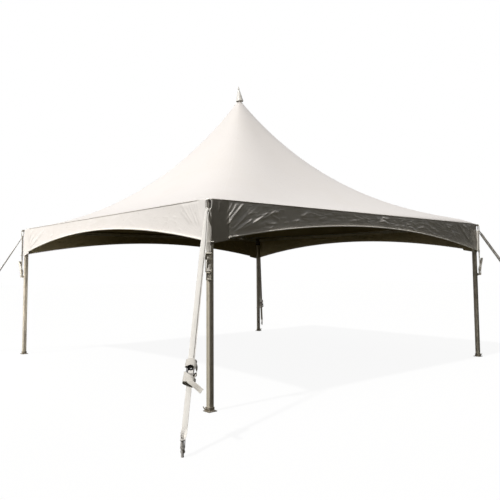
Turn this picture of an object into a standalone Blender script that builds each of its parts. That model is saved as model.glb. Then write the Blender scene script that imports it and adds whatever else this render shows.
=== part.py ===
"""Peaked frame tent, 6.1 m square, on four legs.

Frame: origin on the ground under the centre of the tent, X and Y along the sides, Z up.
Front is -Y and right is +X. Lengths are in metres.
"""
import math

import bmesh
import bpy
from mathutils import Matrix, Vector

# Driving dimensions
BAY = 6.10                       # leg centre to leg centre, both ways
EAVE_HEIGHT = 2.44
PEAK_HEIGHT = 4.87
GAP = 0.0003                     # between pieces that touch

LEG_SIZE = 0.0635
LEG_EDGE_RADIUS = 0.004
FOOT_PLATE_SIZE = 0.12
FOOT_PLATE_THICKNESS = 0.008
FOOT_COLLAR_SIZE = 0.076
FOOT_HEIGHT = 0.05
BRACKET_SIZE = 0.074
BRACKET_BOTTOM = 2.27
BRACKET_TOP = 2.43
BEAM_WIDTH = 0.05
BEAM_DEPTH = 0.0635
BEAM_TOP = 2.4255

# Roof fabric: a square eave that turns round towards the peak, along a hollow slope
EAVE_OVERHANG = 0.045            # from the leg's centre line to the outside of the fabric
ROOF_THICKNESS = 0.009
ROOF_RINGS = 10
ROOF_SIDES = 40
PEAK_COLLAR_RADIUS = 0.05
EAVE_SLOPE_SHARE = 0.21          # share of the rise that is straight; the rest is squared
EAVE_SQUARENESS = 0.02           # 1 / exponent of the superellipse at the eave
PEAK_SQUARENESS = 0.36           # and what is added to it by the peak
MAST_LEAN = Vector((-0.06, 0.06, 0.0))

VALANCE_THICKNESS = 0.006
VALANCE_END_GAP = 0.06
VALANCE_ARCH_TOP = 2.235
VALANCE_ARCH_BOTTOM = 1.935
VALANCE_STEPS = 24

MAST_RADIUS = 0.03
HUB_RADIUS = 0.06
HUB_BOTTOM = 2.19
HUB_TOP = 2.24
HUB_LUG_REACH = 0.11
HUB_LUG_SIZE = (0.014, 0.032)
CABLE_RADIUS = 0.0048
CABLE_TOP = 2.36
CABLE_BOTTOM = 2.215

# Ring at each corner, seen from outside as an upright oblong
RING_DISTANCE = 0.088            # outwards from the leg's centre, along the diagonal
RING_WIDTH = 0.078
RING_HEIGHT = 0.125
RING_WIRE_RADIUS = 0.006
RING_CORNER_RADIUS = 0.026
RING_TOP = 2.43
ARM_THICKNESS = 0.012
ARM_DEPTH = 0.036

# Webbing, ratchets and stakes
STRAP_WIDTH = 0.05
STRAP_THICKNESS = 0.004
LEG_SPOOL_HEIGHT = 1.595
STAKE_DISTANCE = 1.60            # outwards from the leg's centre, along the diagonal
STAKE_RADIUS = 0.0125
STAKE_HEIGHT = 0.14
STAKE_HEAD_RADIUS = 0.021
STAKE_HEAD_THICKNESS = 0.012
LOOP_HEIGHT = 0.065
LOOP_WALL = 0.006
GUY_SPOOL_SHARE = 0.70           # of the way from the ring to the stake

SPOOL_RADIUS = 0.009
BOLT_RADIUS = 0.005
BOLT_OVERRUN = 0.0005            # of the bolt's ends past the side plates
SPOOL_TO_BOLT = 0.095
SIDE_PLATE_THICKNESS = 0.003
SIDE_PLATE_DEPTH = 0.03
SIDE_PLATE_OVERRUN = 0.014       # past the spool and past the bolt
BODY_INNER_HALF = 0.0265         # from the middle to a side plate
PIN_OVERRUN = 0.003              # of the spool's ends past the lever
HANDLE_CLEARANCE = 0.005
HANDLE_LENGTH = 0.205
HANDLE_EYE_RADIUS = 0.016
HANDLE_END_DEPTH = 0.022
HANDLE_WEB_LENGTH = 0.075
HANDLE_WEB_THICKNESS = 0.004
HANDLE_GRIP_RADIUS = 0.010
HANDLE_BORE_CLEARANCE = 0.001
HANDLE_REST_TILT = math.radians(12)
CLEAT_WIDTH = 0.036
CLEAT_HEIGHT = 0.05
CLEAT_THICKNESS = 0.005
CLEAT_LUG_THICKNESS = 0.014
CLEAT_LUG_HEIGHT = 0.04

# Finial: radius at each height above the peak
FINIAL_PROFILE = [
    (0.330, 0.0), (0.325, 0.006), (0.292, 0.012), (0.284, 0.019), (0.272, 0.019),
    (0.264, 0.014), (0.250, 0.022), (0.140, 0.045), (0.030, 0.066), (0.016, 0.066),
    (0.0, 0.056), (0.0, 0.0),
]
FINIAL_STEPS = 16

HALF_BAY = BAY / 2
EAVE_HALF = HALF_BAY + EAVE_OVERHANG
BODY_OUTER_HALF = BODY_INNER_HALF + SIDE_PLATE_THICKNESS
HANDLE_INNER_HALF = BODY_OUTER_HALF + HANDLE_CLEARANCE
HANDLE_OUTER_HALF = HANDLE_INNER_HALF + SIDE_PLATE_THICKNESS
PIN_HALF_LENGTH = HANDLE_OUTER_HALF + PIN_OVERRUN
UPRIGHT_PLATE = Matrix(((0, 0, 1, 0), (1, 0, 0, 0), (0, 1, 0, 0), (0, 0, 0, 1)))

CORNERS = ["front_left", "front_right", "back_right", "back_left"]
SIDES = ["front", "right", "back", "left"]

# Colours: (red, green, blue), metallic, roughness
FINISHES = {
    "roof_fabric": ((0.86, 0.83, 0.78), 0.0, 0.45),
    "valance_fabric": ((0.82, 0.80, 0.76), 0.0, 0.4),
    "aluminium": ((0.56, 0.53, 0.47), 1.0, 0.42),
    "zinc_steel": ((0.62, 0.60, 0.55), 1.0, 0.35),
    "dark_steel": ((0.16, 0.15, 0.14), 0.8, 0.5),
    "cable_steel": ((0.45, 0.45, 0.44), 1.0, 0.4),
    "webbing": ((0.80, 0.77, 0.70), 0.0, 0.85),
    "white_plastic": ((0.85, 0.85, 0.83), 0.0, 0.4),
}


def clear_scene():
    """Remove whatever the file holds."""
    for item in list(bpy.data.objects):
        bpy.data.objects.remove(item, do_unlink=True)


def make_collection(name):
    """A new collection in the scene."""
    collection = bpy.data.collections.new(name)
    bpy.context.scene.collection.children.link(collection)
    return collection


def make_material(name):
    """A Principled material with the finish of that name."""
    colour, metallic, roughness = FINISHES[name]
    material = bpy.data.materials.new(name)
    material.use_nodes = True
    shader = material.node_tree.nodes["Principled BSDF"]
    shader.inputs["Base Color"].default_value = (*colour, 1.0)
    shader.inputs["Metallic"].default_value = metallic
    shader.inputs["Roughness"].default_value = roughness
    return material


def place(name, mesh, material, matrix):
    """One named piece of the tent, from a mesh that others may share."""
    piece = bpy.data.objects.new(name, mesh)
    piece.matrix_world = matrix
    PARTS.objects.link(piece)
    if not mesh.materials:
        mesh.materials.append(MATERIALS[material])
    return piece


def corner_frame(turn):
    """Under a leg's centre, with +Y outwards along the tent's diagonal."""
    to_corner = Matrix.Translation((-HALF_BAY, -HALF_BAY, 0.0)) @ Matrix.Rotation(math.radians(135), 4, "Z")
    return side_frame(turn) @ to_corner


def side_frame(turn):
    """At the tent's origin, with -Y towards a side."""
    return Matrix.Rotation(math.radians(90 * turn), 4, "Z")


def finish_mesh(name, bm):
    """Turn edited geometry into a mesh with outward faces."""
    bmesh.ops.recalc_face_normals(bm, faces=bm.faces)
    mesh = bpy.data.meshes.new(name)
    bm.to_mesh(mesh)
    bm.free()
    return mesh


def box(low, high, turn=Matrix.Identity(4), bevel=0.0):
    """A box between two corners, turned afterwards, as a mesh."""
    low, high = Vector(low), Vector(high)
    bm = bmesh.new()
    size = high - low
    bmesh.ops.create_cube(bm, size=1.0)
    bmesh.ops.scale(bm, vec=size, verts=bm.verts)
    bmesh.ops.translate(bm, vec=(low + high) / 2, verts=bm.verts)
    if bevel:
        upright = [e for e in bm.edges if abs(e.verts[0].co.z - e.verts[1].co.z) > 0.5 * size.z]
        bmesh.ops.bevel(bm, geom=upright, offset=bevel, segments=2, profile=0.5, affect="EDGES")
    bmesh.ops.transform(bm, matrix=turn, verts=bm.verts)
    return finish_mesh("box", bm)


def rod(start, end, radius, sides=12):
    """A cylinder from one point to another, as a mesh."""
    start, end = Vector(start), Vector(end)
    axis = end - start
    bm = bmesh.new()
    bmesh.ops.create_cone(bm, cap_ends=True, segments=sides, radius1=radius, radius2=radius,
                          depth=axis.length)
    turn = axis.to_track_quat("Z", "Y").to_matrix().to_4x4()
    bmesh.ops.transform(bm, matrix=Matrix.Translation((start + end) / 2) @ turn, verts=bm.verts)
    return finish_mesh("rod", bm)


def combine(name, first, others, operation="UNION"):
    """Join solids to the first one, or cut them out of it, as one mesh."""
    base = bpy.data.objects.new(name, first)
    tools = [bpy.data.objects.new(name + "_tool", mesh) for mesh in others]
    for item in [base, *tools]:
        TOOLS.objects.link(item)
    for tool in tools:
        step = base.modifiers.new(operation.lower(), "BOOLEAN")
        step.operation = operation
        step.solver = "EXACT"
        step.object = tool
    bpy.context.view_layer.update()
    result = bpy.data.meshes.new_from_object(base.evaluated_get(bpy.context.evaluated_depsgraph_get()))
    result.name = name
    for item in [base, *tools]:
        bpy.data.objects.remove(item, do_unlink=True)
    return result


def welded_mesh(name, curve):
    """The closed mesh of a curve, with its loose caps welded."""
    holder = bpy.data.objects.new(name, curve)
    TOOLS.objects.link(holder)
    bpy.context.view_layer.update()
    mesh = bpy.data.meshes.new_from_object(holder.evaluated_get(bpy.context.evaluated_depsgraph_get()))
    bpy.data.objects.remove(holder, do_unlink=True)
    bm = bmesh.new()
    bm.from_mesh(mesh)
    bmesh.ops.remove_doubles(bm, verts=bm.verts, dist=0.00005)
    return finish_mesh(name, bm)


def tube_mesh(name, points, radius, cyclic=False):
    """A wire along points, as a mesh with welded caps."""
    curve = bpy.data.curves.new(name, "CURVE")
    curve.dimensions = "3D"
    curve.bevel_depth = radius
    curve.bevel_resolution = 2
    curve.use_fill_caps = not cyclic
    spline = curve.splines.new("POLY")
    spline.points.add(len(points) - 1)
    for target, source in zip(spline.points, points):
        target.co = (*source, 1.0)
    spline.use_cyclic_u = cyclic
    return welded_mesh(name, curve)


def plate(outline, thickness):
    """A flat outline in X and Y with its thickness along Z, as a mesh."""
    curve = bpy.data.curves.new("plate", "CURVE")
    curve.dimensions = "2D"
    curve.fill_mode = "BOTH"
    curve.extrude = thickness / 2
    spline = curve.splines.new("POLY")
    spline.points.add(len(outline) - 1)
    for target, (x, y) in zip(spline.points, outline):
        target.co = (x, y, 0.0, 1.0)
    spline.use_cyclic_u = True
    return welded_mesh("plate", curve)


def make_leg():
    """Square extruded leg, standing on its foot's collar."""
    half = LEG_SIZE / 2
    turn = Matrix.Rotation(math.radians(45), 4, "Z")
    return box((-half, -half, FOOT_HEIGHT + GAP), (half, half, BRACKET_BOTTOM - GAP), turn, LEG_EDGE_RADIUS)


def make_foot():
    """Square base plate with the collar that the leg stands on."""
    turn = Matrix.Rotation(math.radians(45), 4, "Z")
    half = FOOT_PLATE_SIZE / 2
    plate = box((-half, -half, 0.0), (half, half, FOOT_PLATE_THICKNESS), turn)
    half = FOOT_COLLAR_SIZE / 2
    collar = box((-half, -half, FOOT_PLATE_THICKNESS / 2), (half, half, FOOT_HEIGHT), turn)
    return combine("foot_plate", plate, [collar])


def ring_points():
    """The centre line of the corner ring, an oblong with round corners."""
    half_width = RING_WIDTH / 2 - RING_WIRE_RADIUS - RING_CORNER_RADIUS
    half_height = RING_HEIGHT / 2 - RING_WIRE_RADIUS - RING_CORNER_RADIUS
    middle = RING_TOP - RING_HEIGHT / 2
    points = []
    for quarter, (side, level) in enumerate([(1, 1), (-1, 1), (-1, -1), (1, -1)]):
        for step in range(5):
            angle = math.radians(90 * quarter + 22.5 * step)
            x = side * half_width + RING_CORNER_RADIUS * math.cos(angle)
            z = level * half_height + RING_CORNER_RADIUS * math.sin(angle)
            points.append((x, RING_DISTANCE, middle + z))
    return points


def make_bracket():
    """Corner casting: a square sleeve, and an arm out to the ring."""
    half = BRACKET_SIZE / 2
    turn = Matrix.Rotation(math.radians(45), 4, "Z")
    sleeve = box((-half, -half, BRACKET_BOTTOM), (half, half, BRACKET_TOP), turn)
    half = ARM_THICKNESS / 2
    arm = box((-half, 0.02, RING_TOP - ARM_DEPTH), (half, RING_DISTANCE + RING_WIRE_RADIUS, RING_TOP - 0.001))
    ring = tube_mesh("ring", ring_points(), RING_WIRE_RADIUS, cyclic=True)
    return combine("corner_bracket", sleeve, [arm, ring])


def make_beam():
    """Eave beam between two corner castings, along the front."""
    half = HALF_BAY - BRACKET_SIZE / 2 - GAP
    near = -HALF_BAY - BEAM_WIDTH / 2
    return box((-half, near, BEAM_TOP - BEAM_DEPTH), (half, near + BEAM_WIDTH, BEAM_TOP))


def make_cable():
    """Cable from a corner casting down to the hub in the middle."""
    start = Vector((0.0, -BRACKET_SIZE / math.sqrt(2) - GAP, CABLE_TOP))
    end = Vector((0.0, HUB_LUG_REACH + GAP - HALF_BAY * math.sqrt(2), CABLE_BOTTOM))
    return tube_mesh("cross_cable", [start, end], CABLE_RADIUS)


def make_hub():
    """Disc with four lugs that the cables pull on, one towards each corner."""
    disc = rod((0.0, 0.0, HUB_BOTTOM), (0.0, 0.0, HUB_TOP), HUB_RADIUS, 24)
    half_width, half_depth = HUB_LUG_SIZE[0] / 2, HUB_LUG_SIZE[1] / 2
    lugs = []
    for angle in (45, 135):
        turn = Matrix.Rotation(math.radians(angle), 4, "Z")
        low = (-HUB_LUG_REACH, -half_width, CABLE_BOTTOM - half_depth)
        high = (HUB_LUG_REACH, half_width, CABLE_BOTTOM + half_depth)
        lugs.append(box(low, high, turn))
    return combine("mast_hub", disc, lugs)


def make_mast():
    """Centre pole that floats on the hub and lifts the peak, leaning a little."""
    start = Vector((0.0, 0.0, HUB_TOP))
    end = Vector((0.0, 0.0, PEAK_HEIGHT)) + MAST_LEAN
    tilt = (end - start).angle(Vector((0.0, 0.0, 1.0)))
    margin = MAST_RADIUS * math.tan(tilt) + GAP
    along = (end - start).normalized()
    return rod(start + along * margin, end - along * margin, MAST_RADIUS, 24)


def make_finial():
    """Pointed cap on top of the mast, a turned profile."""
    mesh = bpy.data.meshes.new("finial")
    points = [(radius, 0.0, height) for height, radius in FINIAL_PROFILE]
    mesh.from_pydata(points, [(i, i + 1) for i in range(len(points) - 1)], [])
    return mesh


def roof_ring(share, inset, height):
    """A superellipse of the roof: share 0 is the eave and share 1 is the peak."""
    half = EAVE_HALF + (PEAK_COLLAR_RADIUS - EAVE_HALF) * share - inset
    power = 1.0 / (EAVE_SQUARENESS + PEAK_SQUARENESS * share)
    ring = []
    for step in range(ROOF_SIDES):
        angle = 2.0 * math.pi * step / ROOF_SIDES
        c, s = math.cos(angle), math.sin(angle)
        reach = half / (abs(c) ** power + abs(s) ** power) ** (1.0 / power)
        ring.append(Vector((reach * c, reach * s, height)) + MAST_LEAN * share)
    return ring


def roof_height(share):
    """Height of the outside of the roof."""
    rise = EAVE_SLOPE_SHARE * share + (1.0 - EAVE_SLOPE_SHARE) * share ** 2
    return EAVE_HEIGHT + (PEAK_HEIGHT - EAVE_HEIGHT) * rise


def make_roof():
    """Tensioned roof, a shell that is open below and has the mast's hole at the peak."""
    shares = [step / (ROOF_RINGS - 1) for step in range(ROOF_RINGS)]
    rings = [roof_ring(share, 0.0, roof_height(share)) for share in shares]
    for share in reversed(shares[1:]):
        rings.append(roof_ring(share, ROOF_THICKNESS, roof_height(share) - ROOF_THICKNESS))
    rings.append(roof_ring(0.0, ROOF_THICKNESS, EAVE_HEIGHT))
    bm = bmesh.new()
    rows = [[bm.verts.new(point) for point in ring] for ring in rings]
    for row, following in zip(rows, rows[1:] + rows[:1]):
        for i in range(ROOF_SIDES):
            j = (i + 1) % ROOF_SIDES
            bm.faces.new((row[i], row[j], following[j], following[i]))
    return finish_mesh("roof", bm)


def arch_height(along):
    """Height of the valance's lower edge, a parabola along the side."""
    drop = (VALANCE_ARCH_TOP - VALANCE_ARCH_BOTTOM) * (along / EAVE_HALF) ** 2
    return VALANCE_ARCH_TOP - drop


def make_valance():
    """Arched curtain below the front eave, a flat outline with thickness."""
    half = EAVE_HALF - VALANCE_END_GAP
    stations = [half * (2.0 * step / VALANCE_STEPS - 1.0) for step in range(VALANCE_STEPS + 1)]
    outline = [(x, arch_height(x)) for x in stations]
    outline += [(half, EAVE_HEIGHT - GAP), (-half, EAVE_HEIGHT - GAP)]
    mesh = plate(outline, VALANCE_THICKNESS)
    stand = Matrix.Translation((0.0, -EAVE_HALF + VALANCE_THICKNESS / 2 + GAP, 0.0))
    mesh.transform(stand @ Matrix.Rotation(math.radians(90), 4, "X"))
    return mesh


def make_ratchet_body():
    """Two side plates with the spool between them and the bolt below, +Z towards the strap."""
    plates = []
    for side in (-1, 1):
        inner, outer = side * BODY_INNER_HALF, side * BODY_OUTER_HALF
        low = (min(inner, outer), -SIDE_PLATE_DEPTH / 2, -SPOOL_TO_BOLT - SIDE_PLATE_OVERRUN)
        high = (max(inner, outer), SIDE_PLATE_DEPTH / 2, SIDE_PLATE_OVERRUN)
        plates.append(box(low, high))
    spool = rod((-PIN_HALF_LENGTH, 0.0, 0.0), (PIN_HALF_LENGTH, 0.0, 0.0), SPOOL_RADIUS)
    bolt_half = BODY_OUTER_HALF + BOLT_OVERRUN
    bolt = rod((-bolt_half, 0.0, -SPOOL_TO_BOLT), (bolt_half, 0.0, -SPOOL_TO_BOLT), BOLT_RADIUS)
    return combine("ratchet_body", spool, [*plates, bolt])


def make_handle():
    """Lever outside the side plates, with a web and a grip at its far end, pointing along +Z."""
    arc = [math.radians(180 + 30 * step) for step in range(7)]
    outline = [(HANDLE_EYE_RADIUS * math.cos(a), HANDLE_EYE_RADIUS * math.sin(a)) for a in arc]
    outline += [(HANDLE_END_DEPTH / 2, HANDLE_LENGTH), (-HANDLE_END_DEPTH / 2, HANDLE_LENGTH)]
    reach = HANDLE_OUTER_HALF - SIDE_PLATE_THICKNESS / 2
    solids = []
    for side in (-1, 1):
        cheek = plate(outline, SIDE_PLATE_THICKNESS)
        cheek.transform(Matrix.Translation((side * reach, 0.0, 0.0)) @ UPRIGHT_PLATE)
        solids.append(cheek)
    half = HANDLE_WEB_THICKNESS / 2
    solids.append(box((-reach, -half, HANDLE_LENGTH - HANDLE_WEB_LENGTH), (reach, half, HANDLE_LENGTH)))
    grip_half = HANDLE_OUTER_HALF + PIN_OVERRUN
    grip = rod((-grip_half, 0.0, HANDLE_LENGTH), (grip_half, 0.0, HANDLE_LENGTH), HANDLE_GRIP_RADIUS)
    return combine("ratchet_handle", grip, solids)


def make_free_handle():
    """The lever with its bore, which turns on the spool's ends."""
    reach = HANDLE_OUTER_HALF + 0.01
    bore = rod((-reach, 0.0, 0.0), (reach, 0.0, 0.0), SPOOL_RADIUS + HANDLE_BORE_CLEARANCE)
    return combine("free_handle", make_handle(), [bore], "DIFFERENCE")


def make_cleat():
    """Angle piece on the leg's outer edge, with a lug out to the ratchet's bolt."""
    face = LEG_SIZE / 2 + GAP
    back = face + CLEAT_THICKNESS
    tip = back - CLEAT_WIDTH
    middle = LEG_SPOOL_HEIGHT - SPOOL_TO_BOLT
    outline = [(face, face), (face, tip), (back, tip), (back, back), (tip, back), (tip, face)]
    angle = plate(outline, CLEAT_HEIGHT)
    angle.transform(Matrix.Translation((0.0, 0.0, middle)) @ Matrix.Rotation(math.radians(45), 4, "Z"))
    lug_half = CLEAT_LUG_THICKNESS / 2
    low = (-lug_half, (face + CLEAT_THICKNESS / 2) * math.sqrt(2), middle - CLEAT_LUG_HEIGHT / 2)
    high = (lug_half, RING_DISTANCE, middle + CLEAT_LUG_HEIGHT / 2)
    return [angle, box(low, high)]


def make_leg_ratchet():
    """Ratchet frame under the leg's pull-down strap, held to the leg by its cleat."""
    body = make_ratchet_body()
    body.transform(Matrix.Translation((0.0, RING_DISTANCE, LEG_SPOOL_HEIGHT)))
    return combine("leg_ratchet", body, make_cleat())


def make_guy_ratchet():
    """Ratchet in the guy, with its lever tied down along the frame."""
    handle = make_handle()
    handle.transform(Matrix.Rotation(HANDLE_REST_TILT - math.pi, 4, "X"))
    return combine("guy_ratchet", make_ratchet_body(), [handle])


def make_leg_strap():
    """Webbing from the corner ring straight down to the ratchet on the leg."""
    top = RING_TOP - RING_HEIGHT - GAP
    bottom = LEG_SPOOL_HEIGHT + SPOOL_RADIUS + GAP
    middle = RING_DISTANCE - STRAP_THICKNESS / 2 - 0.001
    half = STRAP_THICKNESS / 2
    return box((-STRAP_WIDTH / 2, middle - half, bottom), (STRAP_WIDTH / 2, middle + half, top))


def guy_line():
    """Both ends of the guy's centre line in a corner's frame: at the ring, and at the stake."""
    ring = Vector((0.0, RING_DISTANCE, RING_TOP - RING_HEIGHT + RING_WIRE_RADIUS))
    stake = Vector((0.0, STAKE_DISTANCE, LOOP_HEIGHT))
    return ring, stake


def guy_frame():
    """Frame of the guy's ratchet: origin on the spool, +Z up the guy, +Y away from the tent."""
    ring, stake = guy_line()
    up = (ring - stake).normalized()
    side = Vector((1.0, 0.0, 0.0))
    out = up.cross(side)
    turn = Matrix((side, out, up)).transposed().to_4x4()
    return Matrix.Translation(ring.lerp(stake, GUY_SPOOL_SHARE)) @ turn


def make_guy_strap():
    """Webbing from the corner ring down to the guy's ratchet, in the guy's frame."""
    ring, stake = guy_line()
    length = (stake - ring).length * GUY_SPOOL_SHARE
    half = STRAP_THICKNESS / 2
    strap = box((-STRAP_WIDTH / 2, -half, SPOOL_RADIUS + GAP),
                (STRAP_WIDTH / 2, half, length - RING_WIRE_RADIUS - GAP))
    strap.transform(guy_frame())
    return strap


def make_anchor_strap():
    """Webbing from the guy's ratchet down to a loop round the stake."""
    ring, stake = guy_line()
    length = (stake - ring).length * (1.0 - GUY_SPOOL_SHARE)
    half = STRAP_THICKNESS / 2
    top = -SPOOL_TO_BOLT - BOLT_RADIUS - GAP
    strap = box((-STRAP_WIDTH / 2, -half, -length + STAKE_RADIUS), (STRAP_WIDTH / 2, half, top))
    strap.transform(guy_frame())
    low = (0.0, STAKE_DISTANCE, LOOP_HEIGHT - STRAP_WIDTH / 2)
    high = (0.0, STAKE_DISTANCE, LOOP_HEIGHT + STRAP_WIDTH / 2)
    loop = rod(low, high, STAKE_RADIUS + LOOP_WALL, 20)
    joined = combine("anchor_strap", strap, [loop])
    bore = rod((0.0, STAKE_DISTANCE, 0.0), (0.0, STAKE_DISTANCE, STAKE_HEIGHT), STAKE_RADIUS + GAP, 20)
    return combine("anchor_strap", joined, [bore], "DIFFERENCE")


def make_stake():
    """Steel stake driven into the ground, from ground level up, with a round head."""
    foot = (0.0, STAKE_DISTANCE, 0.0)
    neck = (0.0, STAKE_DISTANCE, STAKE_HEIGHT)
    top = (0.0, STAKE_DISTANCE, STAKE_HEIGHT + STAKE_HEAD_THICKNESS)
    shank = rod(foot, neck, STAKE_RADIUS, 20)
    head = rod((0.0, STAKE_DISTANCE, STAKE_HEIGHT - 0.001), top, STAKE_HEAD_RADIUS, 20)
    return combine("stake", shank, [head])


def build_frame():
    """Legs, feet, corner castings, beams, hub, mast and cables."""
    leg, foot, bracket = make_leg(), make_foot(), make_bracket()
    cable, beam = make_cable(), make_beam()
    for turn, corner in enumerate(CORNERS):
        place("leg_" + corner, leg, "aluminium", corner_frame(turn))
        place("foot_plate_" + corner, foot, "zinc_steel", corner_frame(turn))
        place("corner_bracket_" + corner, bracket, "zinc_steel", corner_frame(turn))
        place("cross_cable_" + corner, cable, "cable_steel", corner_frame(turn))
    for turn, side in enumerate(SIDES):
        place("eave_beam_" + side, beam, "aluminium", side_frame(turn))
    place("mast_hub", make_hub(), "zinc_steel", Matrix.Identity(4))
    place("mast", make_mast(), "aluminium", Matrix.Identity(4))


def build_top():
    """Roof, valances and the finial."""
    place("canopy_roof", make_roof(), "roof_fabric", Matrix.Identity(4))
    valance = make_valance()
    for turn, side in enumerate(SIDES):
        place("valance_" + side, valance, "valance_fabric", side_frame(turn))
    seat = Matrix.Translation(Vector((0.0, 0.0, PEAK_HEIGHT + GAP)) + MAST_LEAN)
    finial = place("finial", make_finial(), "white_plastic", seat)
    spin = finial.modifiers.new("turn", "SCREW")
    spin.steps = spin.render_steps = FINIAL_STEPS
    spin.use_merge_vertices = True
    spin.merge_threshold = 0.0001


def build_rigging():
    """Straps, ratchets and stakes at each corner."""
    strap, ratchet, handle = make_leg_strap(), make_leg_ratchet(), make_free_handle()
    guy, guy_ratchet, anchor, stake = make_guy_strap(), make_guy_ratchet(), make_anchor_strap(), make_stake()
    lever = Matrix.Translation((0.0, RING_DISTANCE, LEG_SPOOL_HEIGHT))
    lever @= Matrix.Rotation(-HANDLE_REST_TILT, 4, "X")
    for turn, corner in enumerate(CORNERS):
        frame = corner_frame(turn)
        place("leg_strap_" + corner, strap, "webbing", frame)
        place("leg_ratchet_" + corner, ratchet, "zinc_steel", frame)
        place("leg_ratchet_handle_" + corner, handle, "zinc_steel", frame @ lever)
        place("guy_strap_" + corner, guy, "webbing", frame)
        place("guy_ratchet_" + corner, guy_ratchet, "dark_steel", frame @ guy_frame())
        place("anchor_strap_" + corner, anchor, "webbing", frame)
        place("stake_" + corner, stake, "dark_steel", frame)


clear_scene()
PARTS = make_collection("marquee_tent")
TOOLS = make_collection("tools")
MATERIALS = {name: make_material(name) for name in FINISHES}
build_frame()
build_top()
build_rigging()
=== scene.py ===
import math
import random

import bmesh
import bpy
import numpy as np
from mathutils import Matrix, Vector, noise


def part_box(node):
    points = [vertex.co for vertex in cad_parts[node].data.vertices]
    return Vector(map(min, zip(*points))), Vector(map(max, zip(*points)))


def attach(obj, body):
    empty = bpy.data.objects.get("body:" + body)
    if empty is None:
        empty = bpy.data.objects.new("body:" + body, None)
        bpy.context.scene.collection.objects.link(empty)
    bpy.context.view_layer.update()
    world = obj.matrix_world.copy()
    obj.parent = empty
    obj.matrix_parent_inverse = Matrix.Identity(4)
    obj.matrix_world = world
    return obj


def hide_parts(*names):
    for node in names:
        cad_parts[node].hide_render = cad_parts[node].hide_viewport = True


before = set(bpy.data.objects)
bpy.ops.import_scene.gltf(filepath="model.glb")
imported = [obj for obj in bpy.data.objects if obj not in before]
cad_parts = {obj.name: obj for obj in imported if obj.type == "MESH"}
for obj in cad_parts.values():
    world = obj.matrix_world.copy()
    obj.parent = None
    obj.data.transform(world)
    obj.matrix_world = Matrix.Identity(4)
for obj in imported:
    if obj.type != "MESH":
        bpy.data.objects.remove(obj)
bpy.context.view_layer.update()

# Camera
# Stands at eye height off the tent's front left corner. Its place, angles and focal length come
# from the tent's own feet, legs and eaves in the picture.
EYE = Vector((-6.982, -8.372, 1.598))
HEADING = math.radians(40.51)          # from +Y towards +X
LOOK_UP = math.radians(4.15)
LEAN = math.radians(-0.36)
PICTURE_SIZE = 500.0
FOCAL_PIXELS = 567.6
AXIS_ROW = 229.2                       # the picture's row that the lens's axis meets

ahead = Vector((math.sin(HEADING) * math.cos(LOOK_UP), math.cos(HEADING) * math.cos(LOOK_UP),
                math.sin(LOOK_UP)))
level = Vector((math.cos(HEADING), -math.sin(HEADING), 0.0))
upright = level.cross(ahead)
to_right = level * math.cos(LEAN) + upright * math.sin(LEAN)
to_top = upright * math.cos(LEAN) - level * math.sin(LEAN)
lens = bpy.data.cameras.new("camera")
lens.lens = lens.sensor_width * FOCAL_PIXELS / PICTURE_SIZE
lens.shift_y = (AXIS_ROW - PICTURE_SIZE / 2) / PICTURE_SIZE
camera = bpy.data.objects.new("camera", lens)
camera.matrix_world = Matrix.Translation(EYE) @ Matrix((to_right, to_top, -ahead)).transposed().to_4x4()
bpy.context.scene.collection.objects.link(camera)
bpy.context.scene.camera = camera

# Legs
# Square extruded aluminium, mill finish gone dull outdoors, with a shallow groove along each face.
# Each stands in its foot's socket and carries its corner casting.
CORNERS = ("front_left", "front_right", "back_right", "back_left")
SIDES = ("front", "right", "back", "left")
foot_low, foot_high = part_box("foot_plate_front_left")
leg_low, leg_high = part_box("leg_front_left")
HALF_BAY = -(foot_low.x + foot_high.x) / 2
LEG_SIZE = leg_high.x - leg_low.x
LEG_CORNER_RADIUS = 0.005
GROOVE_WIDTH = 0.016
GROOVE_DEPTH = 0.0035
LEG_FOOT = 0.012                       # down inside the foot's socket
LEG_HEAD = 2.405                       # up inside the corner casting
LEG_COLOUR = (0.71, 0.655, 0.54)
STILL = Matrix.Identity(4)
SQUARE = Matrix.Rotation(math.radians(45), 4, "Z")   # from a corner's frame to its leg's faces
HARD_ANGLE = math.radians(38)


def moved(x, y, z):
    """A move along the three axes."""
    return Matrix.Translation((x, y, z))


def rotated(degrees, axis):
    """A turn about an axis."""
    return Matrix.Rotation(math.radians(degrees), 4, axis)


def side_frame(turn):
    """At the tent's origin, with -Y towards a side."""
    return rotated(90 * turn, "Z")


def corner_frame(turn):
    """Under a leg's centre, with +Y outwards along the tent's diagonal."""
    to_corner = moved(-HALF_BAY, -HALF_BAY, 0.0) @ rotated(135, "Z")
    return side_frame(turn) @ to_corner


def new_shape():
    """An empty shape whose points know how far along and across a strap they lie."""
    bm = bmesh.new()
    for layer in ("along", "across", "sewn"):
        bm.verts.layers.float.new(layer)
    return bm


def make_piece(name, bm, materials, body="tent", replaced=(), matrix=STILL, thickness=0.0, bevel=0.0):
    """A finished piece on its body, from a shape that other corners may use again."""
    if not thickness:
        bmesh.ops.recalc_face_normals(bm, faces=bm.faces)
    mesh = bpy.data.meshes.new(name)
    bm.to_mesh(mesh)
    mesh.transform(matrix)
    mesh.shade_smooth()
    if not thickness:
        mesh.set_sharp_from_angle(angle=HARD_ANGLE)
    for material in materials:
        mesh.materials.append(material)
    piece = bpy.data.objects.new(name, mesh)
    bpy.context.scene.collection.objects.link(piece)
    if thickness:
        wall = piece.modifiers.new("thickness", "SOLIDIFY")
        wall.thickness = thickness
        wall.offset = -1.0
        wall.material_offset = len(materials) // 2
    if bevel:
        edge = piece.modifiers.new("edges", "BEVEL")
        edge.width = bevel
        edge.segments = 2
        edge.limit_method = "ANGLE"
        edge.angle_limit = HARD_ANGLE
    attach(piece, body)
    if replaced:
        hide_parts(*replaced)
    return piece


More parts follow.
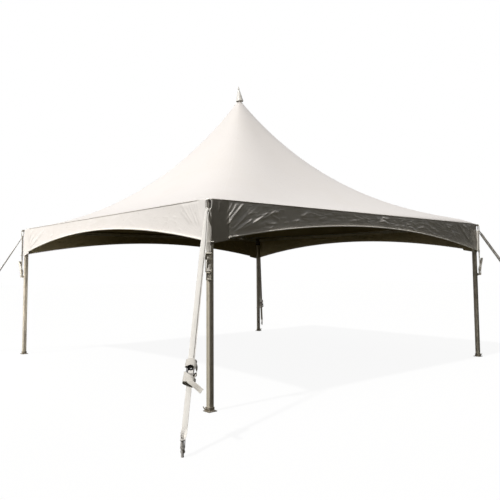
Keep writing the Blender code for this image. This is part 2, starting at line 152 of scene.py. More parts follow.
def make_at_corners(name, bm, material, replaced=(), lever=False, bevel=0.0):
    """The same piece at all four corners, from one shape in a corner's frame."""
    for turn, corner in enumerate(CORNERS):
        body = "lever_" + corner if lever else "tent"
        nodes = [node + "_" + corner for node in replaced]
        make_piece(name + "_" + corner, bm, [material], body, nodes, corner_frame(turn), bevel=bevel)
    bm.free()


def settle(bm, old, place):
    """Move what was added to a shape since its old points to its place."""
    bmesh.ops.transform(bm, matrix=place, verts=[v for v in bm.verts if v not in old])


def frames_along(points, across, widths=None):
    """A frame at each point of a line, with +Z along it and +X as near to across as can be."""
    frames = []
    for index, point in enumerate(points):
        z = (points[min(index + 1, len(points) - 1)] - points[max(index - 1, 0)]).normalized()
        aim = across[index] if isinstance(across, list) else across
        x = (aim - aim.dot(z) * z).normalized()
        place = Matrix.Translation(point) @ Matrix((x, z.cross(x), z)).transposed().to_4x4()
        frames.append(place @ Matrix.Scale(widths[index], 4, (1, 0, 0)) if widths else place)
    return frames


def sweep(bm, profile, frames, closed=False):
    """Draw a closed profile in X and Y along frames, capped unless it runs back into itself."""
    along, across = bm.verts.layers.float["along"], bm.verts.layers.float["across"]
    verts = [bm.verts.new((x, y, 0.0)) for x, y in profile]
    for vert, (x, _) in zip(verts, profile):
        vert[across] = x
    edges = [bm.edges.new(pair) for pair in zip(verts, verts[1:] + verts[:1])]
    first = edges
    bmesh.ops.transform(bm, matrix=frames[0], verts=verts)
    run = 0.0
    for before, after in zip(frames, frames[1:]):
        run += (after.translation - before.translation).length
        made = bmesh.ops.extrude_edge_only(bm, edges=edges)["geom"]
        fresh = {v for v in made if isinstance(v, bmesh.types.BMVert)}
        edges = [e for e in made if isinstance(e, bmesh.types.BMEdge) and set(e.verts) <= fresh]
        bmesh.ops.transform(bm, matrix=after @ before.inverted(), verts=list(fresh))
        for vert in fresh:
            vert[along] = run
    if closed:
        bmesh.ops.bridge_loops(bm, edges=first + edges)
    else:
        bmesh.ops.edgeloop_fill(bm, edges=first)
        bmesh.ops.edgeloop_fill(bm, edges=edges)


def tube_profile(half_x, half_y, radius, groove=None):
    """The outside of a square tube with rounded corners, and with a groove along each face or none."""
    points = []
    for quarter, (side, level) in enumerate(((1, 1), (-1, 1), (-1, -1), (1, -1))):
        for step in range(4):
            turn = math.radians(90 * quarter + 30 * step)
            x = side * (half_x - radius) + radius * math.cos(turn)
            y = level * (half_y - radius) + radius * math.sin(turn)
            points.append((x, y))
        if groove:
            width, depth = groove
            face = math.radians(90 * (quarter + 1))
            reach = half_x if quarter % 2 else half_y
            half, slope = width / 2, depth / 3
            for shift, drop in ((half, 0), (half - slope, depth), (slope - half, depth), (-half, 0)):
                out = reach - drop
                x = out * math.cos(face) + shift * math.sin(face)
                y = out * math.sin(face) - shift * math.cos(face)
                points.append((x, y))
    return points


def add_node(tree, kind, values=None, **settings):
    """A shader node whose inputs are set, or linked where the value is a socket."""
    made = tree.nodes.new("ShaderNode" + kind)
    for name, value in settings.items():
        setattr(made, name, value)
    for socket, value in (values or {}).items():
        if isinstance(value, bpy.types.NodeSocket):
            tree.links.new(value, made.inputs[socket])
        else:
            made.inputs[socket].default_value = value
    return made


def maths(tree, operation, *values):
    """The result of a Math node."""
    return add_node(tree, "Math", dict(enumerate(values)), operation=operation).outputs[0]


def times(tree, first, second):
    """The product of two values."""
    return maths(tree, "MULTIPLY", first, second)


def mottle(tree, place, scale, detail, **more):
    """The value of a noise pattern at a place."""
    values = {"Vector": place, "Scale": scale, "Detail": detail, **more}
    return add_node(tree, "TexNoise", values).outputs["Fac"]


def ease(tree, value, low, high):
    """A value brought smoothly to 0 at low and 1 at high."""
    span = {"Value": value, "From Min": low, "From Max": high}
    return add_node(tree, "MapRange", span, interpolation_type="SMOOTHSTEP").outputs["Result"]


def tint(tree, amount, first, second):
    """A colour from the first at 0 to the second at 1."""
    mix = add_node(tree, "Mix", {"Factor": amount}, data_type="RGBA")
    for index, colour in ((6, first), (7, second)):
        if isinstance(colour, bpy.types.NodeSocket):
            tree.links.new(colour, mix.inputs[index])
        else:
            mix.inputs[index].default_value = (*colour, 1.0)
    return mix.outputs[2]


def new_group(name, inputs, outputs):
    """An empty shader group with its sockets. An input is a value, or None for a place."""
    tree = bpy.data.node_groups.new(name, "ShaderNodeTree")
    for socket, value in inputs.items():
        kind = "NodeSocketVector" if value is None else "NodeSocketFloat"
        made = tree.interface.new_socket(socket, in_out="INPUT", socket_type=kind)
        if value is not None:
            made.default_value = value
    for socket in outputs:
        tree.interface.new_socket(socket, in_out="OUTPUT", socket_type="NodeSocketFloat")
    return tree, tree.nodes.new("NodeGroupInput").outputs, tree.nodes.new("NodeGroupOutput").inputs


def use_group(tree, group, **values):
    """The outputs of a shader group placed in a material."""
    placed = add_node(tree, "Group", node_tree=group)
    for name, value in values.items():
        socket = placed.inputs[name.replace("_", " ")]
        if isinstance(value, bpy.types.NodeSocket):
            tree.links.new(value, socket)
        else:
            socket.default_value = value
    return placed.outputs


def new_material(name):
    """A material's node tree and its Principled shader."""
    material = bpy.data.materials.new(name)
    material.use_nodes = True
    return material, material.node_tree, material.node_tree.nodes["Principled BSDF"]


def finish_surface(tree, shader, colour, roughness, height, depth):
    """Join colour, roughness and relief to the shader. Depth is the relief's size in metres."""
    bump = add_node(tree, "Bump", {"Height": height, "Strength": 1.0, "Distance": depth})
    joined = {"Base Color": colour, "Roughness": roughness, "Normal": bump.outputs["Normal"]}
    for name, socket in joined.items():
        tree.links.new(socket, shader.inputs[name])


# Weather: broad soiling that runs in patches, and small dark specks
WEATHER, given, result = new_group(
    "weather", {"Place": None, "Patches Per Metre": 1.5, "Amount": 0.3}, ["Soil", "Speck"])
broad = mottle(WEATHER, given["Place"], given["Patches Per Metre"], 6.0, Roughness=0.62)
fine = mottle(WEATHER, given["Place"], times(WEATHER, given["Patches Per Metre"], 24.0), 3.0)
soil = times(WEATHER, ease(WEATHER, broad, 0.42, 0.75), given["Amount"])
speck = times(WEATHER, ease(WEATHER, fine, 0.64, 0.72), given["Amount"])
WEATHER.links.new(soil, result["Soil"])
WEATHER.links.new(speck, result["Speck"])

# Edge wear: bare, brighter metal where a rounded normal parts from the true one
EDGE_WEAR, given, result = new_group(
    "edge_wear", {"Place": None, "Radius": 0.002, "Amount": 0.5}, ["Worn"])
rounded = add_node(EDGE_WEAR, "Bevel", {"Radius": given["Radius"]}, samples=4).outputs[0]
true_normal = add_node(EDGE_WEAR, "NewGeometry").outputs["Normal"]
agreement = add_node(EDGE_WEAR, "VectorMath", {0: rounded, 1: true_normal}, operation="DOT_PRODUCT")
parting = ease(EDGE_WEAR, maths(EDGE_WEAR, "SUBTRACT", 1.0, agreement.outputs["Value"]), 0.02, 0.22)
scuffs = mottle(EDGE_WEAR, given["Place"], 160.0, 4.0)
worn = times(EDGE_WEAR, parting, ease(EDGE_WEAR, scuffs, 0.30, 0.62))
EDGE_WEAR.links.new(times(EDGE_WEAR, worn, given["Amount"]), result["Worn"])

# Drawn grain: fine lines along Z, Y or X, by how much the place is stretched each way
GRAIN, given, result = new_group(
    "grain", {"Place": None, "Across X": 1.0, "Across Y": 1.0, "Across Z": 0.02, "Lines": 700.0}, ["Line"])
ways = {index: given["Across " + axis] for index, axis in enumerate("XYZ")}
stretch = add_node(GRAIN, "CombineXYZ", ways).outputs[0]
drawn = add_node(GRAIN, "VectorMath", {0: given["Place"], 1: stretch}, operation="MULTIPLY").outputs[0]
GRAIN.links.new(mottle(GRAIN, drawn, given["Lines"], 2.0), result["Line"])


def metal_material(name, colour, roughness, metallic, along="Z", soiled=(0.16, 0.13, 0.09), amount=0.35,
                   pits=0.0, wear=0.5):
    """Bare, plated or painted metal: drawn grain, worn edges, dirt in patches and cast or rusted pits."""
    material, tree, shader = new_material(name)
    place = add_node(tree, "TexCoord").outputs["Object"]
    spread = {"Across_" + axis: 0.02 if axis == along else 1.0 for axis in "XYZ"}
    line = use_group(tree, GRAIN, Place=place, Lines=600.0, **spread)["Line"]
    weather = use_group(tree, WEATHER, Place=place, Patches_Per_Metre=7.0, Amount=amount)
    worn = use_group(tree, EDGE_WEAR, Place=place, Radius=0.0018, Amount=wear)["Worn"]
    pitted = mottle(tree, place, 420.0, 2.0)
    dull = tint(tree, times(tree, line, 0.5), colour, [0.72 * part for part in colour])
    soil = maths(tree, "MAXIMUM", weather["Soil"], weather["Speck"])
    dirty = tint(tree, soil, dull, soiled)
    bright = tint(tree, worn, dirty, [min(1.0, 1.35 * part + 0.05) for part in colour])
    rough = maths(tree, "MULTIPLY_ADD", soil, 0.35, roughness)
    rough = maths(tree, "MULTIPLY_ADD", line, 0.10, rough)
    height = maths(tree, "MULTIPLY_ADD", pitted, pits, times(tree, line, 0.12))
    finish_surface(tree, shader, bright, rough, height, 0.0006)
    bare = maths(tree, "MULTIPLY_ADD", soil, -metallic, metallic)
    tree.links.new(bare, shader.inputs["Metallic"])
    return material


bm = new_shape()
leg_profile = tube_profile(LEG_SIZE / 2, LEG_SIZE / 2, LEG_CORNER_RADIUS, (GROOVE_WIDTH, GROOVE_DEPTH))
sweep(bm, leg_profile, [moved(0.0, 0.0, z) @ SQUARE for z in (LEG_FOOT, LEG_HEAD)])
LEG_METAL = metal_material("leg_metal", LEG_COLOUR, 0.46, 0.25, amount=0.4, wear=0.3)
make_at_corners("leg", bm, LEG_METAL, ["leg"])

# Feet
# Zinc plated steel plates with a square socket welded on, a bolt through the socket, four holes
# and a forked lug bent up beside the leg.
PLATE_HALF = 0.06
PLATE_THICKNESS = 0.008
SOCKET_HALF = 0.038
SOCKET_WALL = 0.0055
SOCKET_TOP = 0.05
PLATE_HOLE = (0.046, 0.0065)           # place along both ways, and radius
FORK_OUTLINE = [
    (-0.030, 0.0), (0.030, 0.0), (0.034, 0.030), (0.029, 0.060), (0.014, 0.066), (0.009, 0.034),
    (-0.009, 0.034), (-0.014, 0.066), (-0.029, 0.060), (-0.034, 0.030)]
FORK_THICKNESS = 0.004
FORK_LEAN = 34                         # degrees out from upright
FOOT_BOLT_HEIGHT = 0.032
FOOT_BOLT_RADIUS = 0.0045
WELD_RADIUS = 0.0036
FOOT_COLOUR = (0.40, 0.36, 0.29)
FORK_COLOUR = (0.66, 0.61, 0.52)
EDGE_ROUNDING = 0.0009


def round_profile(radius, sides, centre=(0.0, 0.0), lobes=0, depth=0.0):
    """A circle, or one with lobes like a cable's strands."""
    turns = [2.0 * math.pi * step / sides for step in range(sides)]
    radii = [radius - depth * (0.5 - 0.5 * math.cos(lobes * turn)) for turn in turns]
    return [(centre[0] + r * math.cos(turn), centre[1] + r * math.sin(turn)) for r, turn in zip(radii, turns)]


def cut_plate(bm, outline, thickness, cutouts=(), place=STILL):
    """A plate with an outline in X and Y, cut through, with half its thickness up and half down Z."""
    old = set(bm.verts)
    edges = []
    for loop in (outline, *cutouts):
        verts = [bm.verts.new((x, y, -thickness / 2)) for x, y in loop]
        edges += [bm.edges.new(pair) for pair in zip(verts, verts[1:] + verts[:1])]
    filled = bmesh.ops.triangle_fill(bm, edges=edges, use_beauty=True)["geom"]
    faces = [f for f in filled if isinstance(f, bmesh.types.BMFace)]
    raised = bmesh.ops.extrude_face_region(bm, geom=faces, use_keep_orig=True)["geom"]
    raised = [v for v in raised if isinstance(v, bmesh.types.BMVert)]
    bmesh.ops.translate(bm, vec=(0.0, 0.0, thickness), verts=raised)
    settle(bm, old, place)


def turned(bm, outline, steps, place=STILL):
    """A turned shape about Z, from the height and radius of its outline's points."""
    old = set(bm.verts)
    verts = [bm.verts.new((radius, 0.0, height)) for height, radius in outline]
    edges = [bm.edges.new(pair) for pair in zip(verts, verts[1:])]
    bmesh.ops.spin(bm, geom=verts + edges, axis=(0, 0, 1), cent=(0, 0, 0), angle=2.0 * math.pi,
                   steps=steps, use_merge=True)
    bmesh.ops.remove_doubles(bm, verts=[v for v in bm.verts if v not in old], dist=0.000001)
    settle(bm, old, place)


def bolt(bm, place, radius, length):
    """A hexagon bolt with its washers and nut. Its head's seat is at the place, and it runs down Z."""
    old = set(bm.verts)
    head, washer = 0.7 * radius * 2, 0.35 * radius
    shank = [(0.0, 0.0), (0.0, radius), (-length - 2.2 * radius, radius), (-length - 2.4 * radius, 0.0)]
    turned(bm, shank, 12)
    for z, out in ((0.0, 1), (-length, -1)):
        low, high = z + out * washer, z + out * (washer + head)
        turned(bm, [(z, 0.0), (z, 2.1 * radius), (low, 2.1 * radius), (low, 0.0)], 20)
        chamfer = out * 0.2 * head
        turned(bm, [(low, 0.0), (low, 1.8 * radius), (high - chamfer, 1.8 * radius), (high, 1.5 * radius),
                    (high, 0.0)], 6)
    settle(bm, old, place)


bm = new_shape()
spot, bore = PLATE_HOLE
holes = [round_profile(bore, 16, (x * spot, y * spot)) for x in (-1, 1) for y in (-1, 1)]
plate = tube_profile(PLATE_HALF, PLATE_HALF, 0.007)
cut_plate(bm, plate, PLATE_THICKNESS, holes, moved(0.0, 0.0, PLATE_THICKNESS / 2) @ SQUARE)
socket = tube_profile(SOCKET_HALF, SOCKET_HALF, 0.006)
inside = tube_profile(SOCKET_HALF - SOCKET_WALL, SOCKET_HALF - SOCKET_WALL, 0.003)
rise = SOCKET_TOP - PLATE_THICKNESS
cut_plate(bm, socket, rise, [inside], moved(0.0, 0.0, PLATE_THICKNESS + rise / 2) @ SQUARE)
foot_bolt = moved(0.0, 0.0, FOOT_BOLT_HEIGHT) @ SQUARE @ rotated(90, "Y")
bolt(bm, foot_bolt @ moved(0.0, 0.0, SOCKET_HALF), FOOT_BOLT_RADIUS, 2 * SOCKET_HALF)
FOOT_METAL = metal_material("foot_metal", FOOT_COLOUR, 0.5, 0.6, amount=0.55, pits=0.3)
make_at_corners("foot_plate", bm, FOOT_METAL, ["foot_plate"], bevel=EDGE_ROUNDING)
bm = new_shape()
seam = [Vector((x, y, PLATE_THICKNESS + 0.001)) for x, y in socket]
seam = [SQUARE @ point.lerp(after, share)
        for point, after in zip(seam, seam[1:] + seam[:1]) for share in (0.0, 0.33, 0.67)]
ripple = [1.0 + 0.16 * math.sin(2.4 * step) for step in range(len(seam))]
bead = frames_along([*seam, seam[0]], Vector((0.0, 0.0, 1.0)), [*ripple, 1.0])[:-1]
sweep(bm, round_profile(WELD_RADIUS, 8), bead, closed=True)
make_at_corners("foot_weld", bm, FOOT_METAL)
bm = new_shape()
lean = moved(SOCKET_HALF + 0.002, -0.012, PLATE_THICKNESS) @ rotated(FORK_LEAN, "Y")
STAND = Matrix(((0, 0, 1, 0), (1, 0, 0, 0), (0, 1, 0, 0), (0, 0, 0, 1)))   # X to Y, Y to Z and Z to X
cut_plate(bm, FORK_OUTLINE, FORK_THICKNESS, [], SQUARE @ lean @ STAND)
FORK_METAL = metal_material("fork_metal", FORK_COLOUR, 0.4, 0.5, amount=0.2)
make_at_corners("foot_fork", bm, FORK_METAL, bevel=EDGE_ROUNDING)

# Corner castings
# Cast aluminium sleeves over the legs' heads, with a socket towards each beam and an arm through
# the roof's corner. Set screws hold the leg and the beams.
SLEEVE_HALF = 0.037
SLEEVE_BOTTOM = 2.27
SLEEVE_TOP = 2.43
BEAM_HALF_WIDTH = 0.025
BEAM_HALF_DEPTH = 0.03175
BEAM_MIDDLE = 2.4255 - BEAM_HALF_DEPTH
BEAM_SOCKET = 0.085                    # how far it reaches from the leg's centre
CASTING_WALL = 0.0045
BEAM_PLAY = 0.0004                     # between a beam and its socket
SUNK = 0.002                           # how far a socket runs into the sleeve
RIB_OUTLINE = [(-0.001, 0.0), (0.046, 0.0), (-0.001, -0.055)]
RIB_THICKNESS = 0.006
BEAM_SCREW = [(0.0, 0.0), (0.0, 0.008), (0.004, 0.0075), (0.0055, 0.006), (0.0055, 0.0)]
BEAM_SCREW_PLACE = 0.066               # from the leg's centre
SET_SCREW = [
    (0.0, 0.0), (0.0, 0.0115), (0.0015, 0.0115), (0.0025, 0.0085), (0.007, 0.0085), (0.008, 0.006),
    (0.008, 0.0)]
SET_SCREW_HEIGHTS = (2.30, 2.345)
RING_TOP = 2.43
ARM_DEPTH = 0.036
ARM_THICKNESS = 0.012
# Painted shade: the castings are coloured much darker than cast aluminium, so that the arm seen through the
# ring reads as shaded.
SHADE_DARKENED_CASTING_COLOUR = (0.24, 0.22, 0.19)


def block(bm, low, high, place=STILL, rounding=0.0):
    """A solid block between two corners, with its edges rounded off."""
    low, high = Vector(low), Vector(high)
    verts = bmesh.ops.create_cube(bm, size=1.0)["verts"]
    bmesh.ops.scale(bm, vec=high - low, verts=verts)
    bmesh.ops.translate(bm, vec=(low + high) / 2, verts=verts)
    if rounding:
        edges = list({e for v in verts for e in v.link_edges})
        verts = bmesh.ops.bevel(bm, geom=edges, offset=rounding, segments=2, profile=0.5, affect="EDGES",
                                material=-1)["verts"]
    bmesh.ops.transform(bm, matrix=place, verts=verts)


bm = new_shape()
bore = tube_profile(SLEEVE_HALF - CASTING_WALL, SLEEVE_HALF - CASTING_WALL, 0.004)
sleeve_and_band = [                    # half width, bottom and top
    (SLEEVE_HALF, SLEEVE_BOTTOM, SLEEVE_TOP - 0.004),
    (SLEEVE_HALF + 0.004, SLEEVE_BOTTOM + 0.001, SLEEVE_BOTTOM + 0.014),
]
for half, low, high in sleeve_and_band:
    lift = moved(0.0, 0.0, (low + high) / 2) @ SQUARE
    cut_plate(bm, tube_profile(half, half, 0.006), high - low, [bore], lift)
cap = [(-SLEEVE_HALF, -SLEEVE_HALF, SLEEVE_TOP - 0.006), (SLEEVE_HALF, SLEEVE_HALF, SLEEVE_TOP)]
block(bm, *cap, SQUARE, 0.002)
for turn in (180, 270):
    to_beam = SQUARE @ rotated(turn, "Z")
    outside = tube_profile(BEAM_HALF_DEPTH + CASTING_WALL, BEAM_HALF_WIDTH + CASTING_WALL, 0.005)
    inside = tube_profile(BEAM_HALF_DEPTH + BEAM_PLAY, BEAM_HALF_WIDTH + BEAM_PLAY, 0.002)
    reach = BEAM_SOCKET - SLEEVE_HALF + SUNK
    middle = moved(0.0, 0.0, BEAM_MIDDLE) @ (to_beam @ rotated(90, "Y"))
    cut_plate(bm, outside, reach, [inside], middle @ moved(0.0, 0.0, SLEEVE_HALF + reach / 2 - SUNK))
    below = moved(SLEEVE_HALF, 0.0, BEAM_MIDDLE - BEAM_HALF_DEPTH - 0.004) @ rotated(90, "X")
    cut_plate(bm, RIB_OUTLINE, RIB_THICKNESS, [], to_beam @ below)
    screw_place = to_beam @ moved(BEAM_SCREW_PLACE, 0.0, BEAM_MIDDLE)
    for side in (-1, 1):
        beside = screw_place @ moved(0.0, side * (BEAM_HALF_WIDTH + 0.004), 0.0)
        turned(bm, BEAM_SCREW, 6, beside @ rotated(-90 * side, "X"))
for turn in (0, 90):
    for z in SET_SCREW_HEIGHTS:
        seat = SQUARE @ rotated(turn, "Z") @ moved(SLEEVE_HALF - 0.001, 0.0, z)
        turned(bm, SET_SCREW, 6, seat @ rotated(90, "Y"))
arm_middle = RING_TOP - 0.001 - ARM_DEPTH / 2
arm = [(0.03, -ARM_DEPTH / 2 - 0.012), (0.058, -ARM_DEPTH / 2), (0.088, -ARM_DEPTH / 2), (0.0975, -0.010),
       (0.0995, 0.0), (0.0975, 0.010), (0.088, ARM_DEPTH / 2), (0.03, ARM_DEPTH / 2)]
cut_plate(bm, arm, ARM_THICKNESS, [], moved(0.0, 0.0, arm_middle) @ STAND)
# The casting's dark colour is painted shade.
SHADE_DARKENED_CASTING_METAL = metal_material("casting_metal_painted_shade", SHADE_DARKENED_CASTING_COLOUR, 0.5, 0.5, amount=0.4, pits=0.7)
make_at_corners("corner_casting", bm, SHADE_DARKENED_CASTING_METAL, ["corner_bracket"],
                bevel=EDGE_ROUNDING)

# Rings
# Oblong rings of round steel bar, welded shut and zinc plated. They hook over the castings' arms
# and hold both straps.
RING_DISTANCE = 0.088                  # outwards from the leg's centre
RING_HALF_WIDTH = 0.042
RING_HEIGHT = 0.135
RING_WIRE = 0.007
RING_BEND = 0.038
RING_COLOUR = (0.80, 0.78, 0.72)


def oblong(half_width, low, high, bend, y, steps=6):
    """Points round an upright oblong with round corners, in the plane at y."""
    half_height, middle = (high - low) / 2, (high + low) / 2
    points = []
    for quarter, (side, level) in enumerate(((1, 1), (-1, 1), (-1, -1), (1, -1))):
        for step in range(steps + 1):
            turn = math.radians(90 * quarter + 90 * step / steps)
            x = side * (half_width - bend) + bend * math.cos(turn)
            z = middle + level * (half_height - bend) + bend * math.sin(turn)
            points.append(Vector((x, y, z)))
    return points


def wire_ring(bm, points, radius, facing):
    """A ring of round wire along points, which lie square to facing."""
    frames = frames_along([points[-1], *points, points[0]], facing)[1:-1]
    sweep(bm, round_profile(radius, 12), frames, closed=True)


bm = new_shape()
ring_foot, ring_head = RING_TOP - RING_HEIGHT + RING_WIRE, RING_TOP - RING_WIRE
bend = RING_BEND - RING_WIRE / 2
ring_line = oblong(RING_HALF_WIDTH - RING_WIRE, ring_foot, ring_head, bend, RING_DISTANCE)
wire_ring(bm, ring_line, RING_WIRE, Vector((0.0, 1.0, 0.0)))
RING_METAL = metal_material("ring_metal", RING_COLOUR, 0.32, 0.7, amount=0.3)
make_at_corners("corner_ring", bm, RING_METAL)

# Eave beams
# Rectangular aluminium tubes between the castings, drawn with a groove along each face. Their
# ends are held in the castings' sockets by screws.
BEAM_HALF_LENGTH = 3.0127
BEAM_METAL = metal_material("beam_metal", LEG_COLOUR, 0.46, 0.35, "X", amount=0.3, wear=0.3)
BEAM_METAL_ACROSS = metal_material("beam_metal_across", LEG_COLOUR, 0.46, 0.35, "Y", amount=0.3, wear=0.3)
bm = new_shape()
ends = [Vector((x, -HALF_BAY, BEAM_MIDDLE)) for x in (-BEAM_HALF_LENGTH, BEAM_HALF_LENGTH)]
beam_profile = tube_profile(BEAM_HALF_WIDTH, BEAM_HALF_DEPTH, 0.004, (0.014, 0.003))
sweep(bm, beam_profile, frames_along(ends, Vector((0.0, 1.0, 0.0))))
for turn, side in enumerate(SIDES):
    metal = BEAM_METAL_ACROSS if turn % 2 else BEAM_METAL
    make_piece("eave_beam_" + side, bm, [metal], replaced=["eave_beam_" + side],
               matrix=side_frame(turn))
bm.free()

# Mast hub
# A steel disc that floats above head height, with an eyed lug towards each corner and a shackle
# in each eye.
HUB_RADIUS = 0.06
HUB_BOTTOM = 2.19
HUB_TOP = 2.24
LUG_REACH = 0.11
LUG_THICKNESS = 0.010
EYE_DISTANCE = 0.096                   # from the hub's centre
CABLE_BOTTOM = 2.215
bm = new_shape()
hub_height = HUB_TOP - HUB_BOTTOM
hub_outline = [
    (0.0, 0.0), (0.0, 0.052), (0.006, HUB_RADIUS), (0.016, HUB_RADIUS), (0.020, 0.054), (0.032, 0.054),
    (0.036, HUB_RADIUS - 0.004), (0.045, HUB_RADIUS - 0.006), (hub_height, 0.048), (hub_height, 0.0)]
turned(bm, hub_outline, 40, moved(0.0, 0.0, HUB_BOTTOM))
lug = [(0.045, -0.016), (0.098, -0.014), (0.108, -0.007), (LUG_REACH, 0.0), (0.108, 0.007), (0.098, 0.014),
       (0.045, 0.016)]
eye = round_profile(0.006, 14, (EYE_DISTANCE, 0.0))
for quarter in range(4):
    outward = rotated(45 + 90 * quarter, "Z") @ moved(0.0, 0.0, CABLE_BOTTOM) @ rotated(90, "X")
    cut_plate(bm, lug, LUG_THICKNESS, [eye], outward)
HUB_METAL = metal_material("hub_metal", (0.50, 0.48, 0.43), 0.45, 0.6, amount=0.4, pits=0.2)
make_piece("mast_hub", bm, [HUB_METAL], replaced=["mast_hub"], bevel=EDGE_ROUNDING)
bm.free()

# Cross cables
# Galvanised steel cable from each casting to the hub, with pressed end fittings, an eye bolt at
# the casting, and a tensioner and shackle at the hub.
CABLE_RADIUS = 0.0048
CABLE_STRANDS = 6
CABLE_LAY = 0.075                      # length of one turn of its strands
CABLE_TOP = 2.36
EYE_BOLT_ROOM = 0.055                  # from the casting to the cable's own start
TENSIONER_ROOM = 0.20                  # from the cable's own end to the hub's eye
TENSIONER_START = 0.165                # before the hub's eye, as the ferrule's end is
HUB_FERRULE_END = 0.195
TENSIONER_LENGTH = 0.11
EYE_BOLT_HEAD = [(0.0, 0.0), (0.0, 0.011), (0.005, 0.011), (0.007, 0.0062), (0.022, 0.0062), (0.022, 0.0)]
FERRULE = [(0.0, 0.0), (0.0, 0.006), (0.003, 0.0078), (0.042, 0.0078), (0.050, 0.0058), (0.050, 0.0)]
FERRULE_PLACE = 0.02
BARREL_NUT = [(0.0, 0.0), (0.0, 0.0125), (0.002, 0.0135), (0.011, 0.0135), (0.013, 0.0125), (0.013, 0.0)]
SHACKLE_HALF_WIDTH = 0.009
SHACKLE_WIRE = 0.0028
cable_start = Vector((0.0, -SLEEVE_HALF * math.sqrt(2) - 0.001, CABLE_TOP))
cable_end = Vector((0.0, EYE_DISTANCE - HALF_BAY * math.sqrt(2), CABLE_BOTTOM))
cable_line = cable_end - cable_start
cable_length = cable_line.length
cable_frame = Matrix.Translation(cable_start) @ cable_line.to_track_quat("Z", "X").to_matrix().to_4x4()
bm = new_shape()
from_start, to_end = EYE_BOLT_ROOM, cable_length - TENSIONER_ROOM
stations = np.linspace(from_start, to_end, int((to_end - from_start) / 0.009))
twists = [moved(0.0, 0.0, s) @ Matrix.Rotation(2.0 * math.pi * s / CABLE_LAY, 4, "Z") for s in stations]
strands = round_profile(CABLE_RADIUS, 12, lobes=CABLE_STRANDS, depth=0.0011)
sweep(bm, strands, [cable_frame @ twist for twist in twists])
CABLE_METAL = metal_material("cable_metal", (0.42, 0.42, 0.40), 0.42, 0.7, amount=0.3)
make_at_corners("cross_cable", bm, CABLE_METAL, ["cross_cable"])
bm = new_shape()
turned(bm, FERRULE, 14, cable_frame @ moved(0.0, 0.0, FERRULE_PLACE))
turned(bm, EYE_BOLT_HEAD, 6, cable_frame)
facing_back = cable_frame @ moved(0.0, 0.0, cable_length - HUB_FERRULE_END) @ rotated(180, "X")
turned(bm, FERRULE, 14, facing_back @ moved(0.0, 0.0, -FERRULE_PLACE))
barrel_start = cable_length - TENSIONER_START
rail = tube_profile(0.0035, 0.0030, 0.001)
for side in (-1, 1):
    ends = [moved(side * 0.0095, 0.0, barrel_start + step) for step in (0.0, TENSIONER_LENGTH)]
    sweep(bm, rail, [cable_frame @ end for end in ends])
for step in (0.0, TENSIONER_LENGTH - BARREL_NUT[-1][0]):
    turned(bm, BARREL_NUT, 16, cable_frame @ moved(0.0, 0.0, barrel_start + step))
for low, high in ((barrel_start - 0.03, barrel_start + 0.04), (barrel_start + 0.07, cable_length - 0.028)):
    count = int((high - low) / 0.002)
    thread = [(low + (high - low) * step / count, 0.0042 + 0.0007 * (step % 2)) for step in range(count + 1)]
    turned(bm, [(low, 0.0), *thread, (high, 0.0)], 12, cable_frame)
bow = [Vector((SHACKLE_HALF_WIDTH * math.cos(turn), 0.0, cable_length - 0.020 - 0.010 * math.sin(turn)))
       for turn in np.linspace(0.0, math.pi, 13)]
legs = [Vector((x, 0.0, cable_length)) for x in (SHACKLE_HALF_WIDTH, -SHACKLE_HALF_WIDTH)]
bow = [legs[0], *bow, legs[1]]
bow_frames = [cable_frame @ place for place in frames_along(bow, Vector((0.0, 1.0, 0.0)))]
sweep(bm, round_profile(SHACKLE_WIRE, 10), bow_frames)
bolt(bm, cable_frame @ moved(0.013, 0.0, cable_length) @ rotated(90, "Y"), 0.003, 0.026)
make_at_corners("cable_fittings", bm, CABLE_METAL, bevel=0.0004)

# Mast
# A round aluminium pole in two lengths, with a spigot on the hub, a joint at mid-height and a
# round head under the roof's collar. It leans a little, as the cables pull it.
MAST_LEAN = Vector((-0.045, 0.045, 0.0))
MAST_RADIUS = 0.03
MAST_BOLTS = ((0.030, 0.0375), (1.31, 0.0345), (1.37, 0.0345))   # heights, and half the way through
PEAK_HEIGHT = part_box("canopy_roof")[1].z
mast_foot = Vector((0.0, 0.0, HUB_TOP))
mast_line = Vector((0.0, 0.0, PEAK_HEIGHT)) + MAST_LEAN - mast_foot
mast_length = mast_line.length
mast_frame = Matrix.Translation(mast_foot) @ mast_line.to_track_quat("Z", "X").to_matrix().to_4x4()
bm = new_shape()
spigot = [(0.001, 0.0), (0.001, 0.036), (0.004, 0.0375), (0.056, 0.0375), (0.060, 0.036),
          (0.060, MAST_RADIUS)]
joint = [(1.28, MAST_RADIUS), (1.28, 0.0335), (1.283, 0.0345), (1.397, 0.0345), (1.40, 0.0335),
         (1.40, MAST_RADIUS)]
head = [(0.10, MAST_RADIUS), (0.10, 0.037), (0.03, 0.039), (0.012, 0.034), (0.002, 0.020), (0.001, 0.0)]
head = [(mast_length - down, radius) for down, radius in head]
turned(bm, spigot + joint + head, 40, mast_frame)
for height, half in MAST_BOLTS:
    across = mast_frame @ moved(half, 0.0, height) @ rotated(90, "Y")
    bolt(bm, across, 0.004, 2 * half)
MAST_METAL = metal_material("mast_metal", (0.56, 0.53, 0.46), 0.4, 0.45, amount=0.25)
make_piece("mast", bm, [MAST_METAL], replaced=["mast"], bevel=0.0005)
bm.free()

